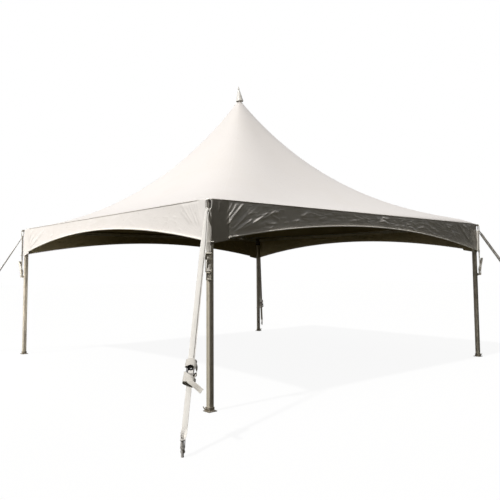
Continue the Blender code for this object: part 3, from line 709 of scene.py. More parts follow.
# Roof cloth
# One sheet of white coated cloth, pulled down at the square eave and pushed up by the mast, so
# that it turns from square to round on a hollow slope. Its panels are welded with flat laps.
roof_low, roof_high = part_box("canopy_roof")
EAVE_HALF = roof_high.x
EAVE_HEIGHT = roof_low.z
EAVE_SLOPE_SHARE = 0.21                # share of the rise that is straight; the rest is squared
EAVE_SQUARENESS = 0.02                 # 1 / exponent of the superellipse at the eave
PEAK_SQUARENESS = 0.36                 # and what is added to it by the peak
COLLAR_RADIUS = 0.05
ROOF_CELLS = 176                       # over the whole cloth, both ways
COLLAR_CELLS = 2                       # from the middle of the cloth to the mast's collar
ROOF_TURN_DOWN = 0.014
CLOTH_THICKNESS = 0.0012
PANEL_WIDTH = 1.55
LAP_WIDTH = 0.03
FAN_FOOT = (3.02, -0.53)               # of a curtain's folds, from mid-span and from the eave
FAN_CREASES = 12.0
HIP_LIFT = 0.064                       # the front right hip is pulled less hollow than the others


# Threads under a coating, or plain woven threads: rows of rounded bumps both ways
THREADS, given, result = new_group("threads", {"Place": None, "Per Metre": 700.0}, ["Height"])
apart = add_node(THREADS, "SeparateXYZ", {0: given["Place"]}).outputs
turns = times(THREADS, given["Per Metre"], 2.0 * math.pi)
rows = [maths(THREADS, "SINE", times(THREADS, apart[axis], turns)) for axis in (0, 1)]
crossed = maths(THREADS, "MULTIPLY_ADD", times(THREADS, rows[0], rows[1]), 0.5, 0.5)
THREADS.links.new(crossed, result["Height"])

# Welded laps: bands where two panels overlap, one panel width apart across each side of the roof
LAPS, given, result = new_group("laps", {"Place": None, "Panel": PANEL_WIDTH, "Lap": LAP_WIDTH}, ["Band"])
apart = add_node(LAPS, "SeparateXYZ", {0: given["Place"]}).outputs
across_x, across_y = (maths(LAPS, "ABSOLUTE", apart[axis]) for axis in (0, 1))
nearer = maths(LAPS, "MINIMUM", across_x, across_y)
shifted = maths(LAPS, "ADD", nearer, times(LAPS, given["Panel"], 0.5))
to_panel = maths(LAPS, "PINGPONG", shifted, times(LAPS, given["Panel"], 0.5))
to_hip = maths(LAPS, "ABSOLUTE", maths(LAPS, "SUBTRACT", across_x, across_y))
to_lap = maths(LAPS, "MINIMUM", to_panel, to_hip)
half_lap = times(LAPS, given["Lap"], 0.5)
band = maths(LAPS, "LESS_THAN", to_lap, half_lap)
LAPS.links.new(band, result["Band"])


def crinkles(tree, place):
    """Height of fine creases along a slack curtain, which climb towards its ends."""
    apart = add_node(tree, "SeparateXYZ", {0: place}).outputs
    outer = maths(tree, "MAXIMUM", maths(tree, "SUBTRACT", maths(tree, "ABSOLUTE", apart[0]), 1.2), 0.0)
    bent = maths(tree, "MULTIPLY_ADD", times(tree, outer, outer), 0.12, apart[1])
    spot = add_node(tree, "CombineXYZ", {0: times(tree, apart[0], 5.0), 1: times(tree, bent, 42.0)})
    fine = mottle(tree, spot.outputs[0], 1.0, 2.5, Distortion=0.5)
    return times(tree, fine, ease(tree, mottle(tree, place, 3.0, 1.0), 0.35, 0.60))


def fan(tree, place):
    """Height of the sharp creases that fan out from both of a curtain's feet."""
    apart = add_node(tree, "SeparateXYZ", {0: place}).outputs
    inward = maths(tree, "SUBTRACT", FAN_FOOT[0], maths(tree, "ABSOLUTE", apart[0]))
    up = maths(tree, "SUBTRACT", apart[1], FAN_FOOT[1])
    squares = maths(tree, "MULTIPLY_ADD", inward, inward, times(tree, up, up))
    reach = maths(tree, "SQRT", squares)
    angle = times(tree, maths(tree, "ARCTAN2", up, inward), FAN_CREASES)
    spot = {0: angle, 1: times(tree, reach, 1.7), 2: maths(tree, "SIGN", apart[0])}
    wave = mottle(tree, add_node(tree, "CombineXYZ", spot).outputs[0], 1.0, 1.5)
    crest = maths(tree, "SUBTRACT", 0.5, maths(tree, "ABSOLUTE", maths(tree, "SUBTRACT", wave, 0.5)))
    return times(tree, crest, ease(tree, reach, 1.0, 0.3))


def cloth_material(name, colour, soiled, roughness, amount, crinkle=0.0, fanned=0.0):
    """Coated cloth: threads that show through, welded laps, creases and weather."""
    material, tree, shader = new_material(name)
    place = add_node(tree, "UVMap", uv_map="cloth").outputs["UV"]
    solid = add_node(tree, "TexCoord").outputs["Object"]
    threads = use_group(tree, THREADS, Place=place, Per_Metre=420.0)["Height"]
    weather = use_group(tree, WEATHER, Place=solid, Patches_Per_Metre=1.1, Amount=amount)
    laps = use_group(tree, LAPS, Place=place, Panel=PANEL_WIDTH, Lap=LAP_WIDTH)["Band"]
    worn = tint(tree, weather["Soil"], colour, soiled)
    specked = tint(tree, weather["Speck"], worn, [0.6 * part for part in soiled])
    lighter = [min(1.0, 1.12 * part) for part in colour]
    doubled = tint(tree, times(tree, laps, 0.12), specked, lighter)
    height = maths(tree, "MULTIPLY_ADD", threads, 0.02, times(tree, laps, 0.35))
    if crinkle:
        height = maths(tree, "MULTIPLY_ADD", crinkles(tree, place), crinkle, height)
    if fanned:
        height = maths(tree, "MULTIPLY_ADD", fan(tree, place), fanned, height)
    rough = maths(tree, "MULTIPLY_ADD", weather["Soil"], 0.2, roughness)
    finish_surface(tree, shader, doubled, rough, height, 0.0012)
    shader.inputs["Specular IOR Level"].default_value = 0.5
    shader.inputs["Sheen Weight"].default_value = 0.0
    return material


ROOF_CLOTH = cloth_material("roof_cloth", (0.775, 0.74, 0.72), (0.70, 0.65, 0.58), 0.44, 0.16)
# Painted shade: the inner face of the white roof cloth is coloured dark olive brown, for the shade and the
# grass-coloured light under the roof.
ROOF_UNDERSIDE_PAINTED_SHADE = cloth_material("roof_underside_painted_shade", (0.50, 0.42, 0.24), (0.31, 0.27, 0.18), 0.6, 0.4)


def roof_point(u, v):
    """Where a point of the flat cloth, from -1 to 1 both ways, lies on the tensioned roof."""
    collar = COLLAR_CELLS * 2.0 / ROOF_CELLS
    share = (1.0 - max(abs(u), abs(v))) / (1.0 - collar)
    half = EAVE_HALF + (COLLAR_RADIUS - EAVE_HALF) * share
    power = 1.0 / (EAVE_SQUARENESS + PEAK_SQUARENESS * share)
    angle = math.atan2(v, u)
    c, s = math.cos(angle), math.sin(angle)
    reach = half / (abs(c) ** power + abs(s) ** power) ** (1.0 / power)
    rise = EAVE_SLOPE_SHARE * share + (1.0 - EAVE_SLOPE_SHARE) * share ** 2
    height = EAVE_HEIGHT + (PEAK_HEIGHT - EAVE_HEIGHT) * rise
    on_hip = max(0.0, math.cos(angle + math.radians(45))) ** 3
    height += HIP_LIFT * on_hip * max(0.0, 1.0 - share ** 2) ** 1.2 * (1.0 - math.exp(-share / 0.03))
    return Vector((reach * c, reach * s, height)) + MAST_LEAN * share


bm = new_shape()
bmesh.ops.create_grid(bm, x_segments=ROOF_CELLS, y_segments=ROOF_CELLS, size=1.0)
collar_reach = (COLLAR_CELLS - 0.5) * 2.0 / ROOF_CELLS
middle = [v for v in bm.verts if max(abs(v.co.x), abs(v.co.y)) < collar_reach]
bmesh.ops.delete(bm, geom=middle, context="VERTS")
cloth = bm.loops.layers.uv.new("cloth")
for face in bm.faces:
    for corner in face.loops:
        corner[cloth].uv = corner.vert.co.xy * EAVE_HALF
rim = [e for e in bm.edges if e.is_boundary and max(abs(c) for v in e.verts for c in v.co.xy) > 0.9]
for vert in bm.verts:
    vert.co = roof_point(vert.co.x, vert.co.y)
edging = bmesh.ops.extrude_edge_only(bm, edges=rim)["geom"]
edging = [v for v in edging if isinstance(v, bmesh.types.BMVert)]
bmesh.ops.translate(bm, vec=(0.0, 0.0, -ROOF_TURN_DOWN), verts=edging)
roof = make_piece("roof_cloth", bm, [ROOF_CLOTH, ROOF_UNDERSIDE_PAINTED_SHADE], replaced=["canopy_roof"],
                  thickness=CLOTH_THICKNESS)
bm.free()

# Curtains
# The arched curtains hang from the eave, of the same cloth. The pull-down at each corner drags
# them into folds that fan out from their feet. A stiff doubled panel closes each end; its darker
# colour is painted shade.
CURTAIN_CELLS = (600, 54)
CELL_STATIONS = (-1.0, -0.37, 0.63, 1.0)   # of the cells, drawn to these places, where it folds
CELL_PLACES = (-3.082, -1.95, 2.3, 3.082)
CURTAIN_END = 3.082                    # the curtain's end, just short of the corner casting's arm
CURTAIN_SETBACK = 0.0020               # behind the turned-down edge of the roof
ARCH_TOP = 2.235
ARCH_BOTTOM = 1.935
STIFF_END = {-1: 0.28, 1: 0.03}        # width of the doubled panel at the left and right ends
STIFF_DROP = 0.034                     # how far the left one hangs below the hem
STIFF_THICKNESS = 0.0015
NOTCH = 0.034                          # depth of the opening that the casting's arm comes out of
NOTCH_FOOT = 2.31
NOTCH_START = 2.9                      # from mid-span, where the end begins to slant back
# The smoother curtain is the one in the light, and its cloth is coloured lighter than the others as painted
# light.
CALM_SIDE = "left"                     # the curtain that hangs smoother than the others
HEM_RADIUS = 0.0100
HEM_STAND = 0.007                      # how far the hem's middle stands out from the cloth
WELT_RADIUS = 0.003
FOLD_FOOT = (2.98, 1.94)               # the folds fan out from here, at both ends
FIRST_SEED = 11                        # of the random folds
HEM_STATIONS = 170
# Strong folds at the left end, seen from outside: both ends of the crest, its height and half width
STRONG_FOLDS = [
    ((-2.856, 2.112), (-2.560, 2.438), 0.0100, 0.0085),
    ((-2.870, 2.160), (-2.655, 2.425), 0.0085, 0.0080),
    ((-2.745, 2.045), (-2.420, 2.240), 0.0100, 0.0080),
    ((-2.775, 2.065), (-2.500, 2.300), 0.0085, 0.0080),
    ((-2.650, 2.075), (-2.270, 2.265), 0.0085, 0.0080),
    ((-2.480, 2.140), (-2.130, 2.350), 0.0075, 0.0080),
    ((-2.300, 2.215), (-1.990, 2.385), 0.0055, 0.0080),
    ((-2.840, 2.250), (-2.740, 2.430), 0.0060, 0.0070),
    ((-2.805, 2.200), (-2.610, 2.390), 0.0060, 0.0070),
    ((-1.760, 2.225), (-1.580, 2.262), 0.0035, 0.0080),
    ((-2.948, 2.285), (-2.940, 2.430), 0.0050, 0.0070),
]


def limited(value):
    """A value, or an array of them, kept from 0 to 1."""
    return np.clip(value, 0.0, 1.0)


def arch_height(x):
    """Height of the curtain's lower edge."""
    return ARCH_TOP - (ARCH_TOP - ARCH_BOTTOM) * (x / EAVE_HALF) ** 2


def fan_folds(draw, end, angles, heights, width, count):
    """Soft folds that run from a curtain's foot up to the eave."""
    folds = []
    for index in range(count):
        share = (index + draw.uniform(-0.3, 0.3)) / max(1, count - 1)
        angle = math.radians(angles[0] + (angles[1] - angles[0]) * share)
        near, far = draw.uniform(0.16, 0.34), draw.uniform(0.5, 0.95)
        foot_x, foot_z = FOLD_FOOT
        ends = [(end * (foot_x - r * math.cos(angle)), foot_z + r * math.sin(angle)) for r in (near, far)]
        folds.append((*ends, draw.uniform(*heights), width * draw.uniform(0.8, 1.4)))
    return folds


def slack_folds(draw, count, strength):
    """Short creases along the curtain, more level towards mid-span."""
    folds = []
    for _ in range(count):
        x = draw.uniform(-2.55, 2.7)
        z = draw.uniform(arch_height(x) + 0.02, EAVE_HEIGHT - 0.01)
        lean = math.radians(draw.gauss(-14.0 * x / 2.5 if abs(x) > 0.8 else 0.0, 13.0))
        half = draw.uniform(0.04, 0.15)
        dx, dz = half * math.cos(lean), half * math.sin(lean)
        height = strength * draw.uniform(0.0015, 0.0045)
        folds.append(((x - dx, z - dz), (x + dx, z + dz), height, draw.uniform(0.007, 0.012)))
    return folds


def fold_relief(x, z, folds):
    """How far the folds push points of the cloth outwards, with a steep side above each crest."""
    relief = np.zeros_like(x)
    for (x0, z0), (x1, z1), height, width in folds:
        length = math.hypot(x1 - x0, z1 - z0)
        run = ((x - x0) * (x1 - x0) + (z - z0) * (z1 - z0)) / length ** 2
        above = ((z - z0) * (x1 - x0) - (x - x0) * (z1 - z0)) / length
        taper = limited(np.minimum(run, 1.0 - run) * 4.0)
        spread = width * np.where(above > 0.0, 1.0, 2.2) * (0.7 + 0.6 * limited(run))
        crest = np.exp(0.3 - np.sqrt((above / spread) ** 2 + 0.09))
        relief += height * taper * taper * (3.0 - 2.0 * taper) * crest
    return relief


def stiffness(x):
    """1 on the doubled panels at the curtain's ends and 0 between them."""
    left = limited((-CURTAIN_END + STIFF_END[-1] - x) / 0.012 + 0.5)
    right = limited((x - CURTAIN_END + STIFF_END[1]) / 0.012 + 0.5)
    return np.maximum(left, right)


def curtain_relief(x, z, folds):
    """How far points of the curtain stand out from its plane."""
    stiff = stiffness(x)
    loose = 1.0 - 0.6 * stiff
    belly = 0.004 * np.sin(1.7 * x + 0.6) * np.sin(math.pi * limited((EAVE_HEIGHT - z) / 0.5))
    held = 0.15 + 0.85 * limited((EAVE_HEIGHT - ROOF_TURN_DOWN - z) / 0.03)
    return STIFF_THICKNESS * stiff + loose * held * (fold_relief(x, z, folds) + belly)


CURTAIN_SOIL = (0.64, 0.59, 0.52)
CURTAIN_CLOTH = cloth_material("curtain_cloth", (0.84, 0.805, 0.765), CURTAIN_SOIL, 0.36, 0.18, 6.5, 9.0)
# Painted light: this copy of the curtain cloth is lighter, for the side that the lamp falls on.
CALM_CURTAIN_PAINTED_LIGHT = cloth_material("calm_curtain_painted_light", (0.92, 0.885, 0.86), CURTAIN_SOIL, 0.36, 0.18,
                                    0.7, 2.5)
# Painted shade: the inner face of the white curtains is coloured dark olive brown, as under the roof.
CURTAIN_INSIDE_PAINTED_SHADE = cloth_material("curtain_inside_painted_shade", (0.50, 0.42, 0.24), (0.31, 0.27, 0.18), 0.6, 0.4, 3.0)
# Painted shade: the doubled end panels are coloured darker than the cloth, for the shade that lies on them.
STIFF_CLOTH_PAINTED_SHADE = cloth_material("stiff_cloth_painted_shade", (0.50, 0.47, 0.42), (0.48, 0.43, 0.36), 0.42, 0.2, 0.3)
HEM_CLOTH = cloth_material("hem_cloth", (0.90, 0.87, 0.80), (0.68, 0.63, 0.54), 0.5, 0.2)

for turn, side in enumerate(SIDES):
    draw = random.Random(FIRST_SEED + turn)
    folds = STRONG_FOLDS + fan_folds(draw, -1, (58, 8), (0.0020, 0.0045), 0.009, 16)
    folds += fan_folds(draw, 1, (74, 40), (0.0035, 0.0060), 0.014, 7)
    calm = side == CALM_SIDE
    folds += slack_folds(draw, 60, 0.4) if calm else slack_folds(draw, 150, 1.0)
    bm = new_shape()
    bmesh.ops.create_grid(bm, x_segments=CURTAIN_CELLS[0], y_segments=CURTAIN_CELLS[1], size=1.0)
    cloth = bm.loops.layers.uv.new("cloth")
    flat = np.array([v.co for v in bm.verts])
    x = np.interp(flat[:, 0], CELL_STATIONS, CELL_PLACES)
    foot = arch_height(x) - STIFF_DROP * stiffness(-np.abs(x)) * (x < 0.0)
    top = EAVE_HEIGHT - 0.002
    z = foot + (top - foot) * (flat[:, 1] + 1.0) / 2.0
    open_by = NOTCH * limited((z - NOTCH_FOOT) / 0.03)
    x = x - np.sign(x) * (open_by * limited((np.abs(x) - NOTCH_START) / (CURTAIN_END - NOTCH_START)))
    out = EAVE_HALF - CURTAIN_SETBACK + curtain_relief(x, z, folds)
    for vert, place in zip(bm.verts, np.stack([x, -out, z], axis=1)):
        vert.co = place
    for face in bm.faces:
        # The doubled end panels get the darker, painted-shade material.
        face.material_index = int(stiffness(face.calc_center_median().x) > 0.5)
        for corner in face.loops:
            corner[cloth].uv = (corner.vert.co.x, corner.vert.co.z - EAVE_HEIGHT)
    name = "curtain_" + side
    materials = [CALM_CURTAIN_PAINTED_LIGHT] * 2 if calm else [CURTAIN_CLOTH, STIFF_CLOTH_PAINTED_SHADE]
    materials += [CURTAIN_INSIDE_PAINTED_SHADE] * 2
    curtain = make_piece(name, bm, materials, replaced=["valance_" + side],
                         matrix=side_frame(turn), thickness=CLOTH_THICKNESS)
    bm.free()
    bm = new_shape()
    start = -CURTAIN_END + STIFF_END[-1]
    stations = np.linspace(start, CURTAIN_END, HEM_STATIONS)
    stands = EAVE_HALF - CURTAIN_SETBACK + HEM_STAND + curtain_relief(stations, arch_height(stations), [])
    points = [Vector(place) for place in zip(stations, -stands, arch_height(stations))]
    climb = np.linspace(points[-1].z + 0.02, NOTCH_FOOT, 12)
    points += [Vector((CURTAIN_END, points[-1].y, height)) for height in climb]
    sweep(bm, round_profile(HEM_RADIUS, 10), frames_along(points, Vector((0.0, 1.0, 0.0))))
    bm.loops.layers.uv.new("cloth")
    hem = make_piece("hem_" + side, bm, [HEM_CLOTH], matrix=side_frame(turn))
    bm.free()

bm = new_shape()
edge_steps = [step / 48.0 - 1.0 for step in range(96)]
around = [(t, -1.0) for t in edge_steps] + [(1.0, t) for t in edge_steps]
around += [(-t, 1.0) for t in edge_steps] + [(-1.0, -t) for t in edge_steps]
points = [roof_point(u, v) + Vector((0.0, 0.0, -0.004)) for u, v in around]
welt_frames = frames_along([*points, points[0]], Vector((0.0, 0.0, 1.0)))[:-1]
sweep(bm, round_profile(WELT_RADIUS, 8), welt_frames, closed=True)
bm.loops.layers.uv.new("cloth")
welt = make_piece("eave_welt", bm, [HEM_CLOTH])
bm.free()

# Finial
# A hollow white plastic cone with a knob and spike, pushed onto the mast's head over the roof's
# collar. It stands a little askew.
FINIAL_OUTLINE = [
    (-0.004, 0.0), (-0.004, 0.020), (0.060, 0.020), (0.072, 0.034), (0.036, 0.058), (0.029, 0.066),
    (0.027, 0.0700), (0.031, 0.0725), (0.040, 0.0710), (0.062, 0.0640), (0.140, 0.0460), (0.215, 0.0285),
    (0.246, 0.0200), (0.254, 0.0150), (0.262, 0.0140), (0.268, 0.0180), (0.276, 0.0195), (0.284, 0.0180),
    (0.291, 0.0125), (0.305, 0.0100), (0.322, 0.0070), (0.3285, 0.0030), (0.3295, 0.0)]
FINIAL_TILT = math.radians(5.0)
bm = new_shape()
finial_seat = Matrix.Translation(Vector((0.008, -0.008, PEAK_HEIGHT)) + MAST_LEAN)
finial_tilt = Matrix.Rotation(FINIAL_TILT, 4, Vector((-1.0, -1.0, 0.0)))
turned(bm, FINIAL_OUTLINE, 40, finial_seat @ finial_tilt)
material, tree, shader = new_material("finial_plastic")
place = add_node(tree, "TexCoord").outputs["Object"]
weather = use_group(tree, WEATHER, Place=place, Patches_Per_Metre=9.0, Amount=0.35)
soil = maths(tree, "MAXIMUM", weather["Soil"], weather["Speck"])
orange_peel = mottle(tree, place, 260.0, 2.0)
finish_surface(tree, shader, tint(tree, soil, (0.84, 0.82, 0.78), (0.42, 0.37, 0.29)),
               maths(tree, "MULTIPLY_ADD", soil, 0.3, 0.36), orange_peel, 0.0003)
finial = make_piece("finial", bm, [material], replaced=["finial"])
subdivided = finial.modifiers.new("roundness", "SUBSURF")
subdivided.levels = subdivided.render_levels = 1
bm.free()

# Pull-down straps
# Woven polyester webbing, 50 mm wide. One loop, sewn flat, runs from the ring to a steel keeper
# pin, and a shorter, narrower one from the pin to the ratchet's spool.
STRAP_WIDTH = 0.05
WEB_THICKNESS = 0.0022
KEEPER_HEIGHT = 1.93
KEEPER_RADIUS = 0.005
LEG_SPOOL_HEIGHT = 1.595
WOUND_RADIUS = 0.0135                  # of the spool with the webbing wound on it
LEG_RUNS_APART = 0.0030
LEG_LOOP_WIDTH = 0.046
KEEPER_START = 0.062                   # of the pin's head, from the strap's middle
KEEPER_OUTLINE = [
    (0.0, 0.0), (0.0, 0.0075), (0.0015, 0.009), (0.006, 0.009), (0.008, 0.0075), (0.008, KEEPER_RADIUS),
    (0.094, KEEPER_RADIUS), (0.097, 0.003), (0.097, 0.0)]
CLIP_WIRE = 0.0014
GREY_WEB_COLOUR = (0.76, 0.73, 0.68)
WEB_SOIL = (0.46, 0.41, 0.34)
THREAD_COLOUR = (0.55, 0.51, 0.45)
SKEW = {1: 0.010, -1: -0.004}          # how far the near and far runs of a loop lie to one side


def web_profile(width, thickness=WEB_THICKNESS):
    """Flat webbing with thin selvedges."""
    half, edge, side = width / 2, thickness * 0.28, width / 2 - 0.0016
    return [(side, thickness / 2), (-side, thickness / 2), (-half, edge), (-half, -edge),
            (-side, -thickness / 2), (side, -thickness / 2), (half, -edge), (half, edge)]


def loop_line(top, bottom, radii, apart):
    """Points in Y and Z round a taut loop between two round bars, whose runs lie apart from each other."""
    axis = (bottom - top).normalized()
    out = Vector((0.0, axis.z, -axis.y)) * -1.0
    length = (bottom - top).length
    points = []
    for end, centre in enumerate((top, bottom)):
        radius = radii[end] + WEB_THICKNESS / 2
        for step in range(13):
            turn = math.pi * step / 12
            sign = 1 if end == 0 else -1
            points.append(centre + sign * (-out * radius * math.cos(turn) - axis * radius * math.sin(turn)))
        run = np.linspace(0.006, length - 0.006, max(10, int(length / 0.03)))
        eased = [min(s, r) for s, r in zip(run, run[::-1])]
        for s, from_end in zip(run, eased):
            near = end if s < length / 2 else 1 - end
            swell = math.exp(-(from_end / 0.022) ** 2)
            offset = apart / 2 + (radii[near] + WEB_THICKNESS / 2 - apart / 2) * swell
            start = top if end == 0 else bottom
            along = axis if end == 0 else -axis
            skew = SKEW[1 if end == 0 else -1] * (1.0 - swell)
            outwards = out if end == 0 else -out
            points.append(start + along * s + outwards * offset + Vector((skew, 0.0, 0.0)))
    return points


def web_loop(bm, points, width, across=Vector((1.0, 0.0, 0.0)), widths=None):
    """Webbing sewn into a closed loop along points."""
    ring = [points[-1], *points, points[0]]
    if isinstance(across, list):
        across = [across[-1], *across, across[0]]
    if widths:
        widths = [widths[-1], *widths, widths[0]]
    sweep(bm, web_profile(width), frames_along(ring, across, widths)[1:-1], closed=True)


def mark_sewn(bm, low, high, axis=2):
    """Mark where a strap is sewn, between two heights in the frame that it is shaped in."""
    sewn = bm.verts.layers.float["sewn"]
    for vert in bm.verts:
        if low < vert.co[axis] < high:
            vert[sewn] = 1.0


# Webbing: rows of rounded yarns that lean one way and the other, and short stitches where the
# strap is sewn
WEBBING, given, result = new_group(
    "webbing", {"Along": 0.0, "Across": 0.0, "Sewn": 0.0, "Yarn": 0.0022}, ["Height", "Gap Painted Shade", "Stitch"])
lean = times(WEBBING, maths(WEBBING, "PINGPONG", given["Across"], 0.0031), 1.6)
slant = maths(WEBBING, "ADD", given["Along"], lean)
row = maths(WEBBING, "SINE", maths(WEBBING, "DIVIDE", times(WEBBING, slant, 2.0 * math.pi), given["Yarn"]))
rib = maths(WEBBING, "COSINE", times(WEBBING, given["Across"], 2.0 * math.pi / 0.0031))
yarns = maths(WEBBING, "MULTIPLY_ADD", row, 0.30, maths(WEBBING, "MULTIPLY_ADD", rib, 0.20, 0.5))
from_middle = maths(WEBBING, "ABSOLUTE", given["Across"])
to_row = maths(WEBBING, "PINGPONG", maths(WEBBING, "ADD", from_middle, 0.003), 0.0065)
seam_rows = maths(WEBBING, "LESS_THAN", to_row, 0.0007)
beat = maths(WEBBING, "SINE", times(WEBBING, given["Along"], 2.0 * math.pi / 0.0045))
dash = maths(WEBBING, "GREATER_THAN", beat, -0.35)
stitch = times(WEBBING, times(WEBBING, seam_rows, dash), given["Sewn"])
WEBBING.links.new(maths(WEBBING, "ADD", yarns, times(WEBBING, stitch, 0.8)), result["Height"])
# Painted shade: this output darkens the colour in the gaps between the yarns.
WEBBING.links.new(ease(WEBBING, yarns, 0.45, 0.1), result["Gap Painted Shade"])
WEBBING.links.new(stitch, result["Stitch"])


def web_material(name, colour, soiled, amount):
    """Woven polyester webbing, soiled by hands and weather."""
    material, tree, shader = new_material(name)
    along, across, sewn = (add_node(tree, "Attribute", attribute_name=layer).outputs["Fac"]
                           for layer in ("along", "across", "sewn"))
    woven = use_group(tree, WEBBING, Along=along, Across=across, Sewn=sewn)
    place = add_node(tree, "TexCoord").outputs["Object"]
    weather = use_group(tree, WEATHER, Place=place, Patches_Per_Metre=5.0, Amount=amount)
    # Painted shade: the webbing is coloured darker in the gaps between yarns.
    body = tint(tree, times(tree, woven["Gap Painted Shade"], 0.45), colour, [0.5 * part for part in colour])
    dirty = tint(tree, maths(tree, "MAXIMUM", weather["Soil"], weather["Speck"]), body, soiled)
    threaded = tint(tree, woven["Stitch"], dirty, THREAD_COLOUR)
    rough = maths(tree, "MULTIPLY_ADD", mottle(tree, place, 900.0, 2.0), 0.15, 0.68)
    finish_surface(tree, shader, threaded, rough, woven["Height"], 0.0006)
    shader.inputs["Sheen Weight"].default_value = 0.15
    return material


GREY_WEB = web_material("grey_webbing", GREY_WEB_COLOUR, WEB_SOIL, 0.3)
ring_bar = Vector((0.0, RING_DISTANCE, RING_TOP - RING_HEIGHT + RING_WIRE))
keeper = Vector((0.0, RING_DISTANCE - 0.002, KEEPER_HEIGHT))
leg_spool = Vector((0.0, RING_DISTANCE, LEG_SPOOL_HEIGHT))
bm = new_shape()
web_loop(bm, loop_line(ring_bar, keeper, (RING_WIRE, KEEPER_RADIUS), LEG_RUNS_APART), STRAP_WIDTH)
mark_sewn(bm, 2.12, 2.26)
mark_sewn(bm, 1.955, 2.03)
make_at_corners("leg_strap", bm, GREY_WEB, ["leg_strap"])
bm = new_shape()
radii = (KEEPER_RADIUS + WEB_THICKNESS, WOUND_RADIUS - WEB_THICKNESS)
loop = loop_line(keeper, leg_spool, radii, LEG_RUNS_APART)
narrowing = [0.62 + 0.38 * min(1.0, max(0.0, (point.z - 1.72) / 0.18)) for point in loop]
web_loop(bm, loop, LEG_LOOP_WIDTH, widths=narrowing)
mark_sewn(bm, 1.84, 1.90)
make_at_corners("leg_ratchet_loop", bm, GREY_WEB)
bm = new_shape()
pin = keeper + Vector((-KEEPER_START, 0.0, 0.0))
turned(bm, KEEPER_OUTLINE, 20, Matrix.Translation(pin) @ rotated(90, "Y"))
clip = [keeper + Vector((0.031, 0.011 * math.cos(turn), 0.011 * math.sin(turn)))
        for turn in np.linspace(0.4, 5.6, 22)]
sweep(bm, round_profile(CLIP_WIRE, 8), frames_along(clip, Vector((1.0, 0.0, 0.0))))
make_at_corners("keeper_pin", bm, RING_METAL)

# Ratchets on the legs
# Zinc plated pressed steel: two side plates with a slotted spool, toothed wheels outside them, a
# spacer bolt below, and an angle cleat on the leg's outer edge.
SPOOL_TO_BOLT = 0.095
PLATE_INSIDE = 0.0265                  # from the middle to a side plate
PLATE_GAUGE = 0.003
LEVER_INSIDE = 0.0345
LEVER_OUTSIDE = 0.0375
SPACER_RADIUS = 0.0068
SPOOL_RADIUS = 0.009
SLOT_HALF = 0.0013                     # of the spool's slot, which the webbing goes through
PIN_HALF_LENGTH = 0.0405
WHEEL_TEETH = 13
WHEEL_RADII = (0.0150, 0.0186)         # between the teeth, and at their tips
WHEEL_THICKNESS = 0.0034
WOUND_THICKNESS = 0.0017               # of webbing pulled tight round the spool
CLEAT_GAUGE = 0.005
CLEAT_ARM = 0.036
CLEAT_SCREW = [
    (0.0, 0.0), (0.0, 0.0070), (0.0012, 0.0070), (0.0022, 0.0058), (0.0052, 0.0058), (0.0062, 0.0045),
    (0.0062, 0.0)]
STEEL_COLOUR = (0.62, 0.58, 0.50)
ALONG_X = rotated(90, "Y")


def on_side(side, x, z=0.0):
    """At x on one side of a ratchet, with +Z pointing away from its middle."""
    return moved(side * x, 0.0, z) @ Matrix.Scale(side, 4, (1, 0, 0)) @ ALONG_X


def ratchet_body(bm, place):
    """Side plates, back plate, spool, wheels and bolt, with the strap up Z and the spool along X."""
    old = set(bm.verts)
    outline = [(y, z - SPOOL_TO_BOLT / 2) for y, z in tube_profile(0.015, 0.0615, 0.012)]
    cutouts = [round_profile(0.0095, 20), round_profile(0.0055, 14, (0.0, -SPOOL_TO_BOLT))]
    cutouts.append([(y, z - 0.052) for y, z in tube_profile(0.005, 0.015, 0.0045)])
    for side in (-1, 1):
        middle = moved(side * (PLATE_INSIDE + PLATE_GAUGE / 2), 0.0, 0.0)
        cut_plate(bm, outline, PLATE_GAUGE, cutouts, middle @ STAND)
        teeth = []
        for step in range(2 * WHEEL_TEETH):
            radius = WHEEL_RADII[step % 2]
            turn = math.pi * step / WHEEL_TEETH + 0.1 * (step % 2)
            teeth.append((radius * math.cos(turn), radius * math.sin(turn)))
        cut_plate(bm, teeth, WHEEL_THICKNESS, [], moved(side * 0.0318, 0.0, 0.0) @ STAND)
        keep = [(0.0, 0.0), (0.0, 0.0105), (0.0016, 0.0105), (0.0016, 0.0)]
        turned(bm, keep, 18, on_side(side, LEVER_OUTSIDE + 0.001))
        nut = [(0.0, 0.0), (0.0, 0.0085), (0.0032, 0.0075), (0.0032, 0.0)]
        turned(bm, nut, 6, on_side(side, 0.0295, -SPOOL_TO_BOLT))
        half = [(SPOOL_RADIUS * math.cos(turn),
                 side * SLOT_HALF + side * (SPOOL_RADIUS - SLOT_HALF) * math.sin(turn))
                for turn in np.linspace(0.0, math.pi, 9)]
        ends = [ALONG_X @ moved(0.0, 0.0, x) for x in (-PIN_HALF_LENGTH, PIN_HALF_LENGTH)]
        sweep(bm, half, ends)
    back = [(-PLATE_INSIDE, -0.082), (PLATE_INSIDE, -0.082), (PLATE_INSIDE, -0.030), (0.019, -0.022),
            (-0.019, -0.022), (-PLATE_INSIDE, -0.030)]
    slot = [(x, z - 0.056) for x, z in tube_profile(0.010, 0.006, 0.0055)]
    cut_plate(bm, back, 0.0024, [slot], moved(0.0, -0.0135, 0.0) @ rotated(90, "X"))
    spacer = [(0.0, 0.0), (0.0, SPACER_RADIUS), (2 * PLATE_INSIDE, SPACER_RADIUS), (2 * PLATE_INSIDE, 0.0)]
    turned(bm, spacer, 16, moved(-PLATE_INSIDE, 0.0, -SPOOL_TO_BOLT) @ ALONG_X)
    settle(bm, old, place)


def wound_line(inner, outer, turns, start):
    """Points in Y and Z along webbing wound on a spool."""
    steps = int(28 * turns)
    line = []
    for step in range(steps + 1):
        turn = start + 2.0 * math.pi * turns * step / steps
        radius = inner + (outer - inner) * step / steps
        line.append(Vector((0.0, radius * math.cos(turn), radius * math.sin(turn))))
    return line


